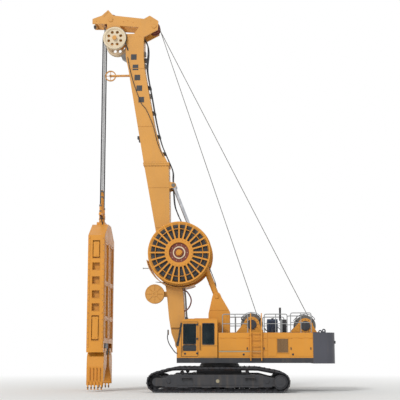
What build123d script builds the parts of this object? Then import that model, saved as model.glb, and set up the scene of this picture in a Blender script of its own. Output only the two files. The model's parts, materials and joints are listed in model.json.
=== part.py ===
from build123d import *
import math
import os

# Diaphragm wall grab on tracks: mast, hose reels, hanging grab.
# Millimetres. X runs from the grab (-X) to the tail (+X), Y to the right-hand side, Z up.
# Every place along X below is measured from the slewing axis. The whole machine is shifted
# at the end so that its origin is the middle of its base on the ground.

# Overall reach from the slewing axis
FRONT_REACH = 5780
TAIL_REACH = 4870

# Tracks
TRACK_LENGTH = 5960
TRACK_HEIGHT = 1040
TRACK_CENTRES = 3600
TRACK_END_RADIUS = 430
TRACK_TOP_RADIUS = 200
TRACK_TOP_FRONT_X = -1900
TRACK_TOP_REAR_X = 1600
SHOE_WIDTH = 800
SHOE_THICKNESS = 45
SHOE_PITCH = 228
LUG_HEIGHT = 28
LINK_WIDTH = 230
LINK_HEIGHT = 75
FRAME_PLATE = 90
FRAME_GAP = 320
FRAME_END_RADIUS = 170
ROLLER_RADIUS = 105
ROLLERS = 9
ROLLER_SPAN = 4000
CARRIER_RADIUS = 80
DRIVE_COVER_RADIUS = 300
DRIVE_COVER_DEPTH = 90

# Carbody and slewing ring
CARBODY_LENGTH = 1900
CARBODY_WIDTH = 1800
CARBODY_LOW = 420
CARBODY_ARM_TOP = 780
CARBODY_ARM_LENGTH = 620
RING_RADIUS = 850
RING_BASE_HEIGHT = 90
RING_CLEARANCE = 10
TOW_LUG = 60
TOW_Z = 600
TOW_BORE_RADIUS = 35

# Upper frame
DECK_LOW = 1200
DECK_TOP = 1410
DECK_FRONT = -1750
DECK_HALF_WIDTH = 1550
HOUSING_FRONT = 0
HOUSING_TOP = 2460
HOUSING_REAR = 3940
HOUSING_WALL = 45
ENGINE_BAY_FRONT = 2050
PLATFORM_FRONT = 480
PLATFORM_HALF_WIDTH = 720
COUNTERWEIGHT_CORNER = 420
COUNTERWEIGHT_LOW = 1180
LIFT_X = 4450
LIFT_Y = 900
LIFT_LUG = 50
LIFT_HEIGHT = 90
LIFT_BORE_RADIUS = 32
ENGINE_LENGTH = 1450
ENGINE_WIDTH = 1000
ENGINE_HEIGHT = 850

# Cab
CAB_FRONT = -1750
CAB_REAR = -40
CAB_OUTER_Y = -1550
CAB_INNER_Y = -620
CAB_TOP = 3020
CAB_WALL = 50
CAB_SILL = 1960
CAB_HEADER = 2850
DOOR_FRONT = -1560
DOOR_REAR = -860
DOOR_GAP = 8
GLASS_THICKNESS = 8

# Mast
MAST_FOOT_X = -1660
MAST_FOOT_Z = 2000
MAST_FOOT_RADIUS = 260
MAST_FOOT_WIDTH = 640
MAST_PIN_RADIUS = 90
MAST_WIDTH = 800
MAST_WALL = 30
MAST_SEAM_Z = 9960
MAST_TOP_Z = 15900
FOOT_EAR = 90
FOOT_EAR_GAP = 10

# Head and its sheaves
HANG_X = -5250
FRONT_SHEAVE_RADIUS = 300
FRONT_SHEAVE_Z = 16760
REAR_SHEAVE_X = -2940
REAR_SHEAVE_Z = 16410
REAR_SHEAVE_RADIUS = 225
SHEAVE_WIDTH = 90
SHEAVE_OFFSET = 120
SHEAVE_SHAFT_RADIUS = 60
ROPE_RADIUS = 16
HOSE_RADIUS = 30
HEAD_PLATE = 60
HEAD_HALF_WIDTH = 330
HOSE_PULLEY_RADIUS = 500
HOSE_PULLEY_Z = 15820
HOSE_PULLEY_WIDTH = 130
HOSE_PULLEY_OFFSET = 420
HOSE_PULLEY_SHAFT_RADIUS = 70
GUIDE_WHEEL_RADIUS = 250
GUIDE_WHEEL_Z = 14200
GUIDE_WHEEL_WIDTH = 70

# Luffing cylinders
TOWER_PIN_X = -100
TOWER_PIN_Z = 4050
MAST_EYE_X = -2020
MAST_EYE_Z = 9000
CYLINDER_OFFSET = 300
BARREL_RADIUS = 125
ROD_RADIUS = 75
CYLINDER_PIN_RADIUS = 60
CYLINDER_EYE_RADIUS = 130
BARREL_SHARE = 0.62
EYE_DRIFT = 25
FIT = 0.1

# Hose reels and cable reel
REEL_X = -1700
REEL_Z = 5900
REEL_RADIUS = 1350
REEL_PLATE_RADIUS = 1400
REEL_RING_RADIUS = 1030
REEL_HUB_RADIUS = 620
REEL_RECESS_RADIUS = 430
REEL_SPOKES = 24
REEL_SPOKE_WIDTH = 70
REEL_RIM = 60
REEL_INNER_Y = 620
REEL_WIDTH = 520
REEL_DISC = 30
REEL_AXLE_RADIUS = 110
CABLE_REEL_X = -2790
CABLE_REEL_Z = 4150
CABLE_REEL_RADIUS = 420
CABLE_REEL_WIDTH = 180

# Winches
WINCH_FRONT_X = 1400
WINCH_FRONT_Z = 2830
WINCH_FRONT_RADIUS = 465
WINCH_REAR_X = 3700
WINCH_REAR_Z = 2770
WINCH_REAR_RADIUS = 450
WINCH_CORE = 0.62
WINCH_FLANGE = 40
WINCH_LENGTH = 1000
WINCH_PLATE = 50
WINCH_GAP = 10
WINCH_SHAFT_RADIUS = 80
WELL_GAP = 30

# Grab
GRAB_THICKNESS = 720
GRAB_WIDTH = 2700
GRAB_LOW = 1640
GRAB_SHOULDER_Z = 6650
GRAB_TOP = 7250
GRAB_PLATE = 50
GRAB_HEAD_TOP = 8000
ROPE_SOCKET_TOP = 8850
HOSE_SOCKET_TOP = 8150
GRAB_WINDOW = 310
JAW_BAY_HALF = 1080
JAW_BAY_TOP = 2030
GRAB_COLUMN_HALF = 330
GRAB_BARREL_RADIUS = 150
GRAB_ROD_RADIUS = 70
CROSSHEAD_Z = 3060
PUSH_ROD_RADIUS = 55
PUSH_PIN_RADIUS = 30
PUSH_DRIFT = 41
PUSH_EYE_WALL = 25
JAW_PIVOT_Y = 400
JAW_PIVOT_Z = 1620
JAW_PIN_RADIUS = 60
JAW_OPEN = 45
JAW_PLATE = 40
JAW_CLEARANCE = 5
JAW_LIP = 1520
JAW_FLAT = 560
TOOTH_LENGTH = 190
TOOTH_WIDTH = 60
TOOTH_THICKNESS = 45

SLEW_X = (FRONT_REACH - TAIL_REACH) / 2


def block(x_range, y_range, z_range):
    """Box between two places along each axis."""
    size = [high - low for low, high in (x_range, y_range, z_range)]
    middle = [(high + low) / 2 for low, high in (x_range, y_range, z_range)]
    return Pos(*middle) * Box(*size)


def plate_xz(outline, y_range):
    """Solid of an outline drawn in XZ, between two places along Y."""
    low, high = y_range
    if not isinstance(outline, Sketch):
        outline = make_face(Polyline(*outline, close=True))
    return extrude(Plane.XZ.offset(-high) * outline, amount=high - low, dir=(0, -1, 0))


def plate_yz(outline, x_range):
    """Solid of an outline drawn in YZ, between two places along X."""
    low, high = x_range
    if not isinstance(outline, Sketch):
        outline = make_face(Polyline(*outline, close=True))
    return extrude(Plane.YZ.offset(low) * outline, amount=high - low, dir=(1, 0, 0))


def disc_y(x, z, radius, y_range):
    """Round disc or shaft along Y."""
    low, high = y_range
    return Pos(x, (low + high) / 2, z) * Rot(90, 0, 0) * Cylinder(radius, high - low)


def disc_x(y, z, radius, x_range):
    """Round disc or shaft along X."""
    low, high = x_range
    return Pos((low + high) / 2, y, z) * Rot(0, 90, 0) * Cylinder(radius, high - low)


def rod_between(start, end, radius):
    """Round bar from one point to another."""
    start = Vector(*start)
    end = Vector(*end)
    line = end - start
    plane = Plane(origin=start, z_dir=line)
    return extrude(plane * Circle(radius), amount=line.length)


def mirrored(shape):
    """The same shape on the other side of the machine."""
    return mirror(shape, about=Plane.XZ)


def both_sides(shape):
    """A shape and its mirror image, as separate solids of one compound."""
    return Compound(children=[*shape.solids(), *mirrored(shape).solids()])


def track_hull(inset):
    """Outline of the track loop, drawn in by an inset from the lug tips."""
    end_x = TRACK_LENGTH / 2 - TRACK_END_RADIUS
    top_z = TRACK_HEIGHT - TRACK_TOP_RADIUS
    circles = [
        (-end_x, TRACK_END_RADIUS, TRACK_END_RADIUS),
        (end_x, TRACK_END_RADIUS, TRACK_END_RADIUS),
        (TRACK_TOP_FRONT_X, top_z, TRACK_TOP_RADIUS),
        (TRACK_TOP_REAR_X, top_z, TRACK_TOP_RADIUS),
    ]
    edges = [(Pos(x, z) * Circle(radius - inset)).edge() for x, z, radius in circles]
    return make_hull(edges)


def track():
    """One loop of shoes with lugs, and the chain of links inside it."""
    path = track_hull(LUG_HEIGHT).face().outer_wire()
    shoes = round(path.length / SHOE_PITCH)
    # share of the pitch, share of the lug's height
    shoe_outline = [(0.0, 0), (0.30, 0), (0.40, 1), (0.60, 1), (0.70, 0)]
    middle = Vector(0, TRACK_HEIGHT / 2)
    points = []
    for shoe in range(shoes):
        for share, height in shoe_outline:
            place = (shoe + share) / shoes
            point = path.position_at(place)
            tangent = path.tangent_at(place)
            out = Vector(tangent.Y, -tangent.X)
            if out.dot(point - middle) < 0:
                out = out * -1
            points.append(point + out * LUG_HEIGHT * height)
    outer = make_face(Polyline(*points, close=True))
    inner = track_hull(LUG_HEIGHT + SHOE_THICKNESS)
    links = track_hull(LUG_HEIGHT + SHOE_THICKNESS) - track_hull(LUG_HEIGHT + SHOE_THICKNESS + LINK_HEIGHT)
    middle_y = -TRACK_CENTRES / 2
    loop = plate_xz(outer - inner, (middle_y - SHOE_WIDTH / 2, middle_y + SHOE_WIDTH / 2))
    chain = plate_xz(links, (middle_y - LINK_WIDTH / 2, middle_y + LINK_WIDTH / 2))
    return loop + chain


def track_wheel_radius():
    return TRACK_END_RADIUS - LUG_HEIGHT - SHOE_THICKNESS - LINK_HEIGHT


def roller_places():
    gap = ROLLER_SPAN / (ROLLERS - 1)
    return [-ROLLER_SPAN / 2 + gap * number for number in range(ROLLERS)]


def track_frame():
    """Side frame: two long plates with round ends, closed on top."""
    end_x = TRACK_LENGTH / 2 - TRACK_END_RADIUS
    end_z = TRACK_END_RADIUS
    middle_y = -TRACK_CENTRES / 2
    half = FRAME_GAP / 2 + FRAME_PLATE
    low = LUG_HEIGHT + SHOE_THICKNESS + LINK_HEIGHT + ROLLER_RADIUS * 0.7
    top = TRACK_HEIGHT - LUG_HEIGHT - SHOE_THICKNESS - LINK_HEIGHT - 2 * CARRIER_RADIUS
    outline = [
        (-end_x + 350, low),
        (end_x - 350, low),
        (end_x - 350, top - 130),
        (TRACK_TOP_REAR_X + 100, top),
        (TRACK_TOP_FRONT_X - 100, top),
        (-end_x + 350, top - 130),
    ]
    arms = Pos(0, end_z) * SlotCenterToCenter(2 * end_x, 2 * FRAME_END_RADIUS)
    profile = make_face(Polyline(*outline, close=True)) + arms
    body = plate_xz(profile, (middle_y - half, middle_y + half))
    wheel_room = track_wheel_radius() + 25
    gap_y = (middle_y - FRAME_GAP / 2, middle_y + FRAME_GAP / 2)
    body -= block((-end_x, end_x), gap_y, (low - 100, end_z + 40))
    for x in (-end_x, end_x):
        body -= disc_y(x, end_z, wheel_room, gap_y)
    return body


def end_wheel(x, teeth):
    """Idler or sprocket, held between the plates of the side frame."""
    middle_y = -TRACK_CENTRES / 2
    end_z = TRACK_END_RADIUS
    radius = track_wheel_radius() - 2
    web = 60
    wheel = disc_y(x, end_z, radius, (middle_y - web, middle_y + web))
    hub = disc_y(x, end_z, 140, (middle_y - FRAME_GAP / 2, middle_y + FRAME_GAP / 2))
    wheel += hub
    if teeth:
        outer = middle_y - FRAME_GAP / 2 - FRAME_PLATE
        cover = disc_y(x, end_z, DRIVE_COVER_RADIUS, (outer - DRIVE_COVER_DEPTH, outer))
        wheel = Compound(children=[*wheel.solids(), *cover.solids()])
    return wheel


def rollers():
    """Track rollers below, carrier rollers above, on both sides."""
    middle_y = -TRACK_CENTRES / 2
    gap_y = (middle_y - FRAME_GAP / 2, middle_y + FRAME_GAP / 2)
    floor = LUG_HEIGHT + SHOE_THICKNESS + LINK_HEIGHT
    ceiling = TRACK_HEIGHT - floor
    pieces = []
    for x in roller_places():
        pieces.append(disc_y(x, floor + ROLLER_RADIUS, ROLLER_RADIUS, gap_y))
    for x in (TRACK_TOP_FRONT_X + 400, TRACK_TOP_REAR_X - 400):
        narrow = (middle_y - LINK_WIDTH / 2, middle_y + LINK_WIDTH / 2)
        pieces.append(disc_y(x, ceiling - CARRIER_RADIUS, CARRIER_RADIUS, narrow))
    near = Compound(children=pieces)
    return both_sides(near)


def carbody():
    """Centre frame with four arms that reach the side frames."""
    half_x = CARBODY_LENGTH / 2
    half_y = CARBODY_WIDTH / 2
    reach = TRACK_CENTRES / 2 - FRAME_GAP / 2 - FRAME_PLATE
    body = block((-half_x, half_x), (-half_y, half_y), (CARBODY_LOW, TRACK_HEIGHT))
    arm = block((-half_x - 250, -half_x - 250 + CARBODY_ARM_LENGTH), (-reach, reach), (CARBODY_LOW, CARBODY_ARM_TOP))
    body += arm + mirror(arm, about=Plane.YZ)
    lug_x = half_x + 250 + 90
    lug = block((0, lug_x), (-80, 80), (TOW_Z - TOW_LUG / 2, TOW_Z + TOW_LUG / 2))
    lug += Pos(lug_x, 0, TOW_Z) * Cylinder(80, TOW_LUG)
    lug -= Pos(lug_x, 0, TOW_Z) * Cylinder(TOW_BORE_RADIUS, 2 * TOW_LUG)
    return body + lug + mirror(lug, about=Plane.YZ)


def slew_ring():
    return Pos(0, 0, TRACK_HEIGHT + RING_BASE_HEIGHT / 2) * Cylinder(RING_RADIUS, RING_BASE_HEIGHT)


# Upper works

def deck_frame():
    """Base frame of the upper works with the ring's upper half and the ears of the mast foot."""
    body = block((DECK_FRONT, HOUSING_REAR), (-DECK_HALF_WIDTH, DECK_HALF_WIDTH), (DECK_LOW, DECK_TOP))
    ring_low = TRACK_HEIGHT + RING_BASE_HEIGHT + RING_CLEARANCE
    body += Pos(0, 0, (ring_low + DECK_LOW) / 2) * Cylinder(RING_RADIUS - 40, DECK_LOW - ring_low)
    inner = MAST_FOOT_WIDTH / 2 + FOOT_EAR_GAP
    ear_outline = [
        (MAST_FOOT_X - 90, DECK_TOP),
        (MAST_FOOT_X - 200, MAST_FOOT_Z),
        (MAST_FOOT_X + 200, MAST_FOOT_Z),
        (MAST_FOOT_X + 900, DECK_TOP),
    ]
    ear = plate_xz(ear_outline, (-inner - FOOT_EAR, -inner))
    ear += disc_y(MAST_FOOT_X, MAST_FOOT_Z, 200, (-inner - FOOT_EAR, -inner))
    ear -= disc_y(MAST_FOOT_X, MAST_FOOT_Z, MAST_PIN_RADIUS, (-inner - FOOT_EAR, -inner))
    return body + ear + mirrored(ear)


def mast_foot_pin():
    half = MAST_FOOT_WIDTH / 2 + FOOT_EAR_GAP + FOOT_EAR
    return disc_y(MAST_FOOT_X, MAST_FOOT_Z, MAST_PIN_RADIUS, (-half, half))


def hollow_box(x_range, y_range, z_range, wall):
    """Box with walls and a roof, open at the bottom."""
    outer = block(x_range, y_range, z_range)
    inner = block(
        (x_range[0] + wall, x_range[1] - wall),
        (y_range[0] + wall, y_range[1] - wall),
        (z_range[0], z_range[1] - wall),
    )
    return outer - inner


def winch_well(x, z, radius):
    """Room in the platform for the lower part of a winch drum."""
    half = WINCH_LENGTH / 2 + WINCH_GAP
    return block((x - radius - WELL_GAP, x + radius + WELL_GAP), (-half, half), (z - radius - WELL_GAP, HOUSING_TOP + 1))


def side_housing():
    return hollow_box(
        (HOUSING_FRONT, ENGINE_BAY_FRONT),
        (-DECK_HALF_WIDTH, -PLATFORM_HALF_WIDTH),
        (DECK_TOP, HOUSING_TOP),
        HOUSING_WALL,
    )


def engine_housing():
    body = hollow_box(
        (ENGINE_BAY_FRONT, HOUSING_REAR),
        (-DECK_HALF_WIDTH, DECK_HALF_WIDTH),
        (DECK_TOP, HOUSING_TOP),
        HOUSING_WALL,
    )
    return body - winch_well(WINCH_REAR_X, WINCH_REAR_Z, WINCH_REAR_RADIUS)


def winch_platform():
    body = hollow_box(
        (PLATFORM_FRONT, ENGINE_BAY_FRONT),
        (-PLATFORM_HALF_WIDTH, PLATFORM_HALF_WIDTH),
        (DECK_TOP, HOUSING_TOP),
        HOUSING_WALL,
    )
    return body - winch_well(WINCH_FRONT_X, WINCH_FRONT_Z, WINCH_FRONT_RADIUS)


def counterweight():
    half = DECK_HALF_WIDTH
    outline = make_face(Polyline(
        (HOUSING_REAR, -half), (TAIL_REACH, -half), (TAIL_REACH, half), (HOUSING_REAR, half), close=True
    ))
    corners = outline.vertices().group_by(Axis.X)[-1]
    outline = fillet(corners, COUNTERWEIGHT_CORNER)
    body = extrude(Pos(0, 0, COUNTERWEIGHT_LOW) * outline, amount=HOUSING_TOP - COUNTERWEIGHT_LOW)
    body -= winch_well(WINCH_REAR_X, WINCH_REAR_Z, WINCH_REAR_RADIUS)
    lug_y = (LIFT_Y - LIFT_LUG / 2, LIFT_Y + LIFT_LUG / 2)
    lug = block((LIFT_X - 80, LIFT_X + 80), lug_y, (HOUSING_TOP - 20, HOUSING_TOP + LIFT_HEIGHT))
    lug += disc_y(LIFT_X, HOUSING_TOP + LIFT_HEIGHT, 80, lug_y)
    lug -= disc_y(LIFT_X, HOUSING_TOP + LIFT_HEIGHT, LIFT_BORE_RADIUS, (0, 2 * LIFT_Y))
    return body + lug + mirrored(lug)


def engine_block():
    middle = (ENGINE_BAY_FRONT + HOUSING_REAR) / 2
    return block(
        (middle - ENGINE_LENGTH / 2, middle + ENGINE_LENGTH / 2),
        (-ENGINE_WIDTH / 2, ENGINE_WIDTH / 2),
        (DECK_TOP, DECK_TOP + ENGINE_HEIGHT),
    )


def cab_outline():
    """Side outline of the cab: raked, curved front and square rear."""
    face = make_face(Polyline(
        (CAB_FRONT, DECK_TOP),
        (CAB_FRONT, CAB_SILL - 100),
        (CAB_FRONT + 190, CAB_TOP),
        (CAB_REAR, CAB_TOP),
        (CAB_REAR, DECK_TOP),
        close=True,
    ))
    front_top = face.vertices().sort_by(Axis.Y)[-2:].sort_by(Axis.X)[0]
    face = fillet(front_top, 160)
    return face


def cab_openings():
    """Openings of door, side window, windscreen and rear window, through the walls."""
    outer = (CAB_OUTER_Y - 1, CAB_OUTER_Y + CAB_WALL + 1)
    door = block((DOOR_FRONT, DOOR_REAR), outer, (DECK_TOP + 60, CAB_HEADER + 60))
    side = block((DOOR_REAR + 180, CAB_REAR - 130), outer, (CAB_SILL, CAB_HEADER))
    screen = block(
        (CAB_FRONT - 1, CAB_FRONT + 330),
        (CAB_OUTER_Y + CAB_WALL + 40, CAB_INNER_Y - CAB_WALL - 40),
        (CAB_SILL - 60, CAB_HEADER),
    )
    inner = block(
        (DOOR_FRONT, CAB_REAR - 130),
        (CAB_INNER_Y - CAB_WALL - 1, CAB_INNER_Y + 1),
        (CAB_SILL, CAB_HEADER),
    )
    rear = block(
        (CAB_REAR - CAB_WALL - 1, CAB_REAR + 1),
        (CAB_OUTER_Y + CAB_WALL + 80, CAB_INNER_Y - CAB_WALL - 80),
        (HOUSING_TOP + 60, CAB_HEADER),
    )
    return door, side, screen, inner, rear


def cab_shell():
    outline = cab_outline()
    shell = plate_xz(outline, (CAB_OUTER_Y, CAB_INNER_Y))
    room = plate_xz(offset(outline, -CAB_WALL), (CAB_OUTER_Y + CAB_WALL, CAB_INNER_Y - CAB_WALL))
    shell -= room
    for opening in cab_openings():
        shell -= opening
    return shell


def cab_glass():
    """Panes seated in the middle of their openings."""
    door, side, screen, inner, rear = cab_openings()
    middle_outer = CAB_OUTER_Y + CAB_WALL / 2
    middle_inner = CAB_INNER_Y - CAB_WALL / 2
    middle_rear = CAB_REAR - CAB_WALL / 2
    half = GLASS_THICKNESS / 2
    ring = plate_xz(cab_outline(), (CAB_OUTER_Y, CAB_INNER_Y))
    core = plate_xz(offset(cab_outline(), -GLASS_THICKNESS), (CAB_OUTER_Y, CAB_INNER_Y))
    screen_pane = (ring - core) & screen
    side_pane = side & block((CAB_FRONT, CAB_REAR), (middle_outer - half, middle_outer + half), (DECK_TOP, CAB_TOP))
    inner_pane = inner & block((CAB_FRONT, CAB_REAR), (middle_inner - half, middle_inner + half), (DECK_TOP, CAB_TOP))
    rear_pane = rear & block(
        (middle_rear - half, middle_rear + half), (CAB_OUTER_Y, CAB_INNER_Y), (DECK_TOP, CAB_TOP)
    )
    panes = [pane.solids() for pane in (screen_pane, side_pane, inner_pane, rear_pane)]
    return Compound(children=[solid for group in panes for solid in group])


def door_window():
    frame = 70
    return block(
        (DOOR_FRONT + DOOR_GAP + frame, DOOR_REAR - DOOR_GAP - frame),
        (CAB_OUTER_Y - 1, CAB_OUTER_Y + CAB_WALL + 1),
        (DECK_TOP + 560, CAB_HEADER + 60 - DOOR_GAP - frame),
    )


def cab_door():
    leaf = block(
        (DOOR_FRONT + DOOR_GAP, DOOR_REAR - DOOR_GAP),
        (CAB_OUTER_Y, CAB_OUTER_Y + CAB_WALL),
        (DECK_TOP + 60 + DOOR_GAP, CAB_HEADER + 60 - DOOR_GAP),
    )
    return leaf - door_window()


def door_glass():
    middle = CAB_OUTER_Y + CAB_WALL / 2
    half = GLASS_THICKNESS / 2
    return door_window() & block((CAB_FRONT, CAB_REAR), (middle - half, middle + half), (DECK_TOP, CAB_TOP))


def operator_seat():
    middle_y = (CAB_OUTER_Y + CAB_INNER_Y) / 2
    x = -760
    base = block((x - 180, x + 180), (middle_y - 180, middle_y + 180), (DECK_TOP + CAB_WALL, DECK_TOP + 380))
    cushion = block((x - 260, x + 240), (middle_y - 250, middle_y + 250), (DECK_TOP + 380, DECK_TOP + 520))
    back = block((x + 120, x + 250), (middle_y - 240, middle_y + 240), (DECK_TOP + 520, DECK_TOP + 1180))
    return base + cushion + back


def cab_console():
    middle_y = (CAB_OUTER_Y + CAB_INNER_Y) / 2
    x = CAB_FRONT + 330
    post = block((x - 60, x + 60), (middle_y - 60, middle_y + 60), (DECK_TOP + CAB_WALL, DECK_TOP + 700))
    panel = block((x - 90, x + 90), (middle_y - 180, middle_y + 180), (DECK_TOP + 700, DECK_TOP + 900))
    return post + panel


def tower_inner():
    return CYLINDER_OFFSET + BARREL_RADIUS + 12


def luff_tower():
    """Two cheeks on the deck that carry the feet of the luffing cylinders."""
    base_front = -460
    base_rear = PLATFORM_FRONT - 20
    outline = [
        (base_front, DECK_TOP),
        (base_front, 3300),
        (TOWER_PIN_X - 190, TOWER_PIN_Z),
        (TOWER_PIN_X + 150, TOWER_PIN_Z + 60),
        (base_rear, 3400),
        (base_rear, DECK_TOP),
    ]
    inner = tower_inner()
    cheek = plate_xz(outline, (-inner - 60, -inner))
    cheek += disc_y(TOWER_PIN_X, TOWER_PIN_Z, 180, (-inner - 60, -inner))
    cheek -= disc_y(TOWER_PIN_X, TOWER_PIN_Z, CYLINDER_PIN_RADIUS, (-inner - 60, -inner))
    web = block((base_front + 60, base_rear - 60), (-inner, inner), (DECK_TOP, DECK_TOP + 1300))
    back = block((base_rear - 120, base_rear - 60), (-inner, inner), (DECK_TOP, 3350))
    return cheek + mirrored(cheek) + web + back


def tower_pin():
    half = tower_inner() + 60
    return disc_y(TOWER_PIN_X, TOWER_PIN_Z, CYLINDER_PIN_RADIUS, (-half, half))


def winch_frame(x, z, radius):
    """Side plates of one winch and the bar that ties them."""
    inner = WINCH_LENGTH / 2 + WINCH_GAP
    outline = [
        (x - radius - 230, HOUSING_TOP),
        (x - radius * 0.55, z + radius * 0.35),
        (x + radius * 0.55, z + radius * 0.35),
        (x + radius + 60, HOUSING_TOP),
    ]
    plate = plate_xz(outline, (-inner - WINCH_PLATE, -inner))
    plate += disc_y(x, z, radius * 0.72, (-inner - WINCH_PLATE, -inner))
    plate -= disc_y(x, z, WINCH_SHAFT_RADIUS, (-inner - WINCH_PLATE, -inner))
    plate -= block((x - radius, x + radius), (-inner - WINCH_PLATE, -inner), (z - radius, HOUSING_TOP))
    tie_x = x - radius - 150
    tie = block((tie_x - 30, tie_x + 30), (-inner, inner), (HOUSING_TOP, HOUSING_TOP + 60))
    return plate + mirrored(plate) + tie


def winch_drum(x, z, radius):
    """Drum with two flanges and its shaft."""
    half = WINCH_LENGTH / 2
    drum = disc_y(x, z, radius * WINCH_CORE, (-half, half))
    for y in (-half, half - WINCH_FLANGE):
        drum += disc_y(x, z, radius, (y, y + WINCH_FLANGE))
    shaft_half = half + WINCH_GAP + WINCH_PLATE
    drum += disc_y(x, z, WINCH_SHAFT_RADIUS - FIT, (-shaft_half, shaft_half))
    return drum


def cooler_box():
    return block((2080, 2520), (-450, 450), (HOUSING_TOP, 3060))


def exhaust():
    muffler = Pos(2780, -200, 0) * block((-130, 130), (-130, 130), (HOUSING_TOP, 3050))
    pipe = Pos(2640, -200, 3300) * Cylinder(45, 520)
    elbow = block((2600, 2780), (-245, -155), (2990, 3050))
    return muffler + elbow + pipe


def ladder():
    x_front = 1350
    x_rear = 1800
    y = -DECK_HALF_WIDTH - 120
    rail = 25
    low = 1300
    body = None
    for x in (x_front, x_rear):
        piece = block((x - rail, x + rail), (y - rail, y + rail), (low, 3250))
        body = piece if body is None else body + piece
        for z in (low + 150, HOUSING_TOP - 100):
            body += block((x - rail, x + rail), (y + rail, -DECK_HALF_WIDTH), (z - 25, z + 25))
    for number in range(5):
        z = low + 120 + number * 260
        body += block((x_front + rail, x_rear - rail), (y - 20, y + 20), (z - 15, z + 15))
    return body


def handrails():
    """Rails along both edges of the platform."""
    y = -DECK_HALF_WIDTH + 60
    bar = 22
    body = []
    for x_low, x_high, top in ((150, 1250, 3250), (1900, 2900, 3250), (3000, 3900, 3300)):
        rail = block((x_low, x_high), (y - bar, y + bar), (top - 2 * bar, top))
        rail += block((x_low, x_high), (y - bar, y + bar), (top - 400 - 2 * bar, top - 400))
        for x in (x_low, (x_low + x_high) / 2 - bar, x_high - 2 * bar):
            rail += block((x, x + 2 * bar), (y - bar, y + bar), (HOUSING_TOP, top))
        body.append(rail)
    near = Compound(children=[solid for rail in body for solid in rail.solids()])
    return both_sides(near)


# Mast

def mast_front_x(z):
    """Front edge of the mast at a height."""
    table = [(2090, -1930), (2450, -2075), (3120, -2180), (4230, -2290), (14950, -4190)]
    return along(table, z)


def along(table, z):
    for (z_low, x_low), (z_high, x_high) in zip(table, table[1:]):
        if z <= z_high:
            break
    share = (z - z_low) / (z_high - z_low)
    return x_low + (x_high - x_low) * share


def mast_lower_outline():
    return [
        (MAST_FOOT_X - 200, MAST_FOOT_Z - 100),
        (-2075, 2450),
        (-2180, 3120),
        (-2290, 4230),
        (-3340, MAST_SEAM_Z),
        (-2240, MAST_SEAM_Z),
        (-2200, 8900),
        (-2167, 7130),
        (-1571, 4230),
        (MAST_FOOT_X + 220, MAST_FOOT_Z),
    ]


def mast_upper_outline():
    return [
        (-3340, MAST_SEAM_Z),
        (-4100, 14410),
        (-4220, 14950),
        (-4220, MAST_TOP_Z),
        (-3400, MAST_TOP_Z),
        (-3400, 14950),
        (-3360, 14410),
        (-2880, 11720),
        (-2615, 10700),
        (-2240, MAST_SEAM_Z),
    ]


def mast_lower():
    half = MAST_WIDTH / 2
    foot_half = MAST_FOOT_WIDTH / 2
    face = make_face(Polyline(*mast_lower_outline(), close=True))
    body = plate_xz(face, (-half, half))
    body += disc_y(MAST_FOOT_X, MAST_FOOT_Z, MAST_FOOT_RADIUS, (-half, half))
    slim = block((MAST_FOOT_X - 700, MAST_FOOT_X + 700), (-half, -foot_half), (MAST_FOOT_Z - 400, 2700))
    body -= slim
    body -= mirrored(slim)
    room = plate_xz(offset(face, -MAST_WALL), (-half + MAST_WALL, half - MAST_WALL))
    room &= block((-4000, 0), (-half, half), (2900, MAST_SEAM_Z))
    body -= room
    body -= block((-3340 + 60, -2240 - 60), (-half + 60, half - 60), (MAST_SEAM_Z - 200, MAST_SEAM_Z))
    body -= disc_y(MAST_FOOT_X, MAST_FOOT_Z, MAST_PIN_RADIUS + FIT, (-half, half))
    return body


def mast_upper():
    half = MAST_WIDTH / 2
    face = make_face(Polyline(*mast_upper_outline(), close=True))
    body = plate_xz(face, (-half, half))
    room = plate_xz(offset(face, -MAST_WALL), (-half + MAST_WALL, half - MAST_WALL))
    room &= block((-5000, 0), (-half, half), (MAST_SEAM_Z, 14900))
    body -= room
    body -= block((-3340 + 60, -2240 - 60), (-half + 60, half - 60), (MAST_SEAM_Z, MAST_SEAM_Z + 200))
    return body


def front_sheave_x():
    return HANG_X + ROPE_RADIUS + FRONT_SHEAVE_RADIUS


def hose_pulley_x():
    return HANG_X + HOSE_RADIUS + HOSE_PULLEY_RADIUS


def head_outline():
    return [
        (-FRONT_REACH, 16580),
        (-FRONT_REACH, 16810),
        (-5344, 16970),
        (-5065, 17230),
        (-4827, 16960),
        (-3403, 16770),
        (-3137, 16920),
        (-2740, 16650),
        (-2760, 16240),
        (-3403, MAST_TOP_Z),
        (-4220, MAST_TOP_Z),
        (-4450, 15600),
        (-5050, 15600),
        (-5105, 16560),
    ]


def mast_head():
    """Two side plates of the head with their cross members."""
    half = HEAD_HALF_WIDTH
    outline = head_outline()
    opening = [(-4520, 16450), (-3640, 16370), (-3850, 16060), (-4230, 16060)]
    face = make_face(Polyline(*outline, close=True)) - make_face(Polyline(*opening, close=True))
    plate = plate_xz(face, (-half - HEAD_PLATE, -half))
    body = plate + mirrored(plate)
    body += block((-4220, -3403), (-half, half), (MAST_TOP_Z, MAST_TOP_Z + 60))
    body += block((-4595, -4545), (-half, half), (16600, 16860))
    body += block((-3600, -3540), (-half, half), (16560, 16740))
    body += block((-5700, -5640), (-half, half), (16600, 16780))
    body += disc_y(front_sheave_x(), FRONT_SHEAVE_Z, SHEAVE_SHAFT_RADIUS, (-half, half))
    body += disc_y(REAR_SHEAVE_X, REAR_SHEAVE_Z, SHEAVE_SHAFT_RADIUS, (-half, half))
    outer = HOSE_PULLEY_OFFSET + HOSE_PULLEY_WIDTH + 60
    body += disc_y(hose_pulley_x(), HOSE_PULLEY_Z, HOSE_PULLEY_SHAFT_RADIUS, (-outer, outer))
    return body


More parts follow.
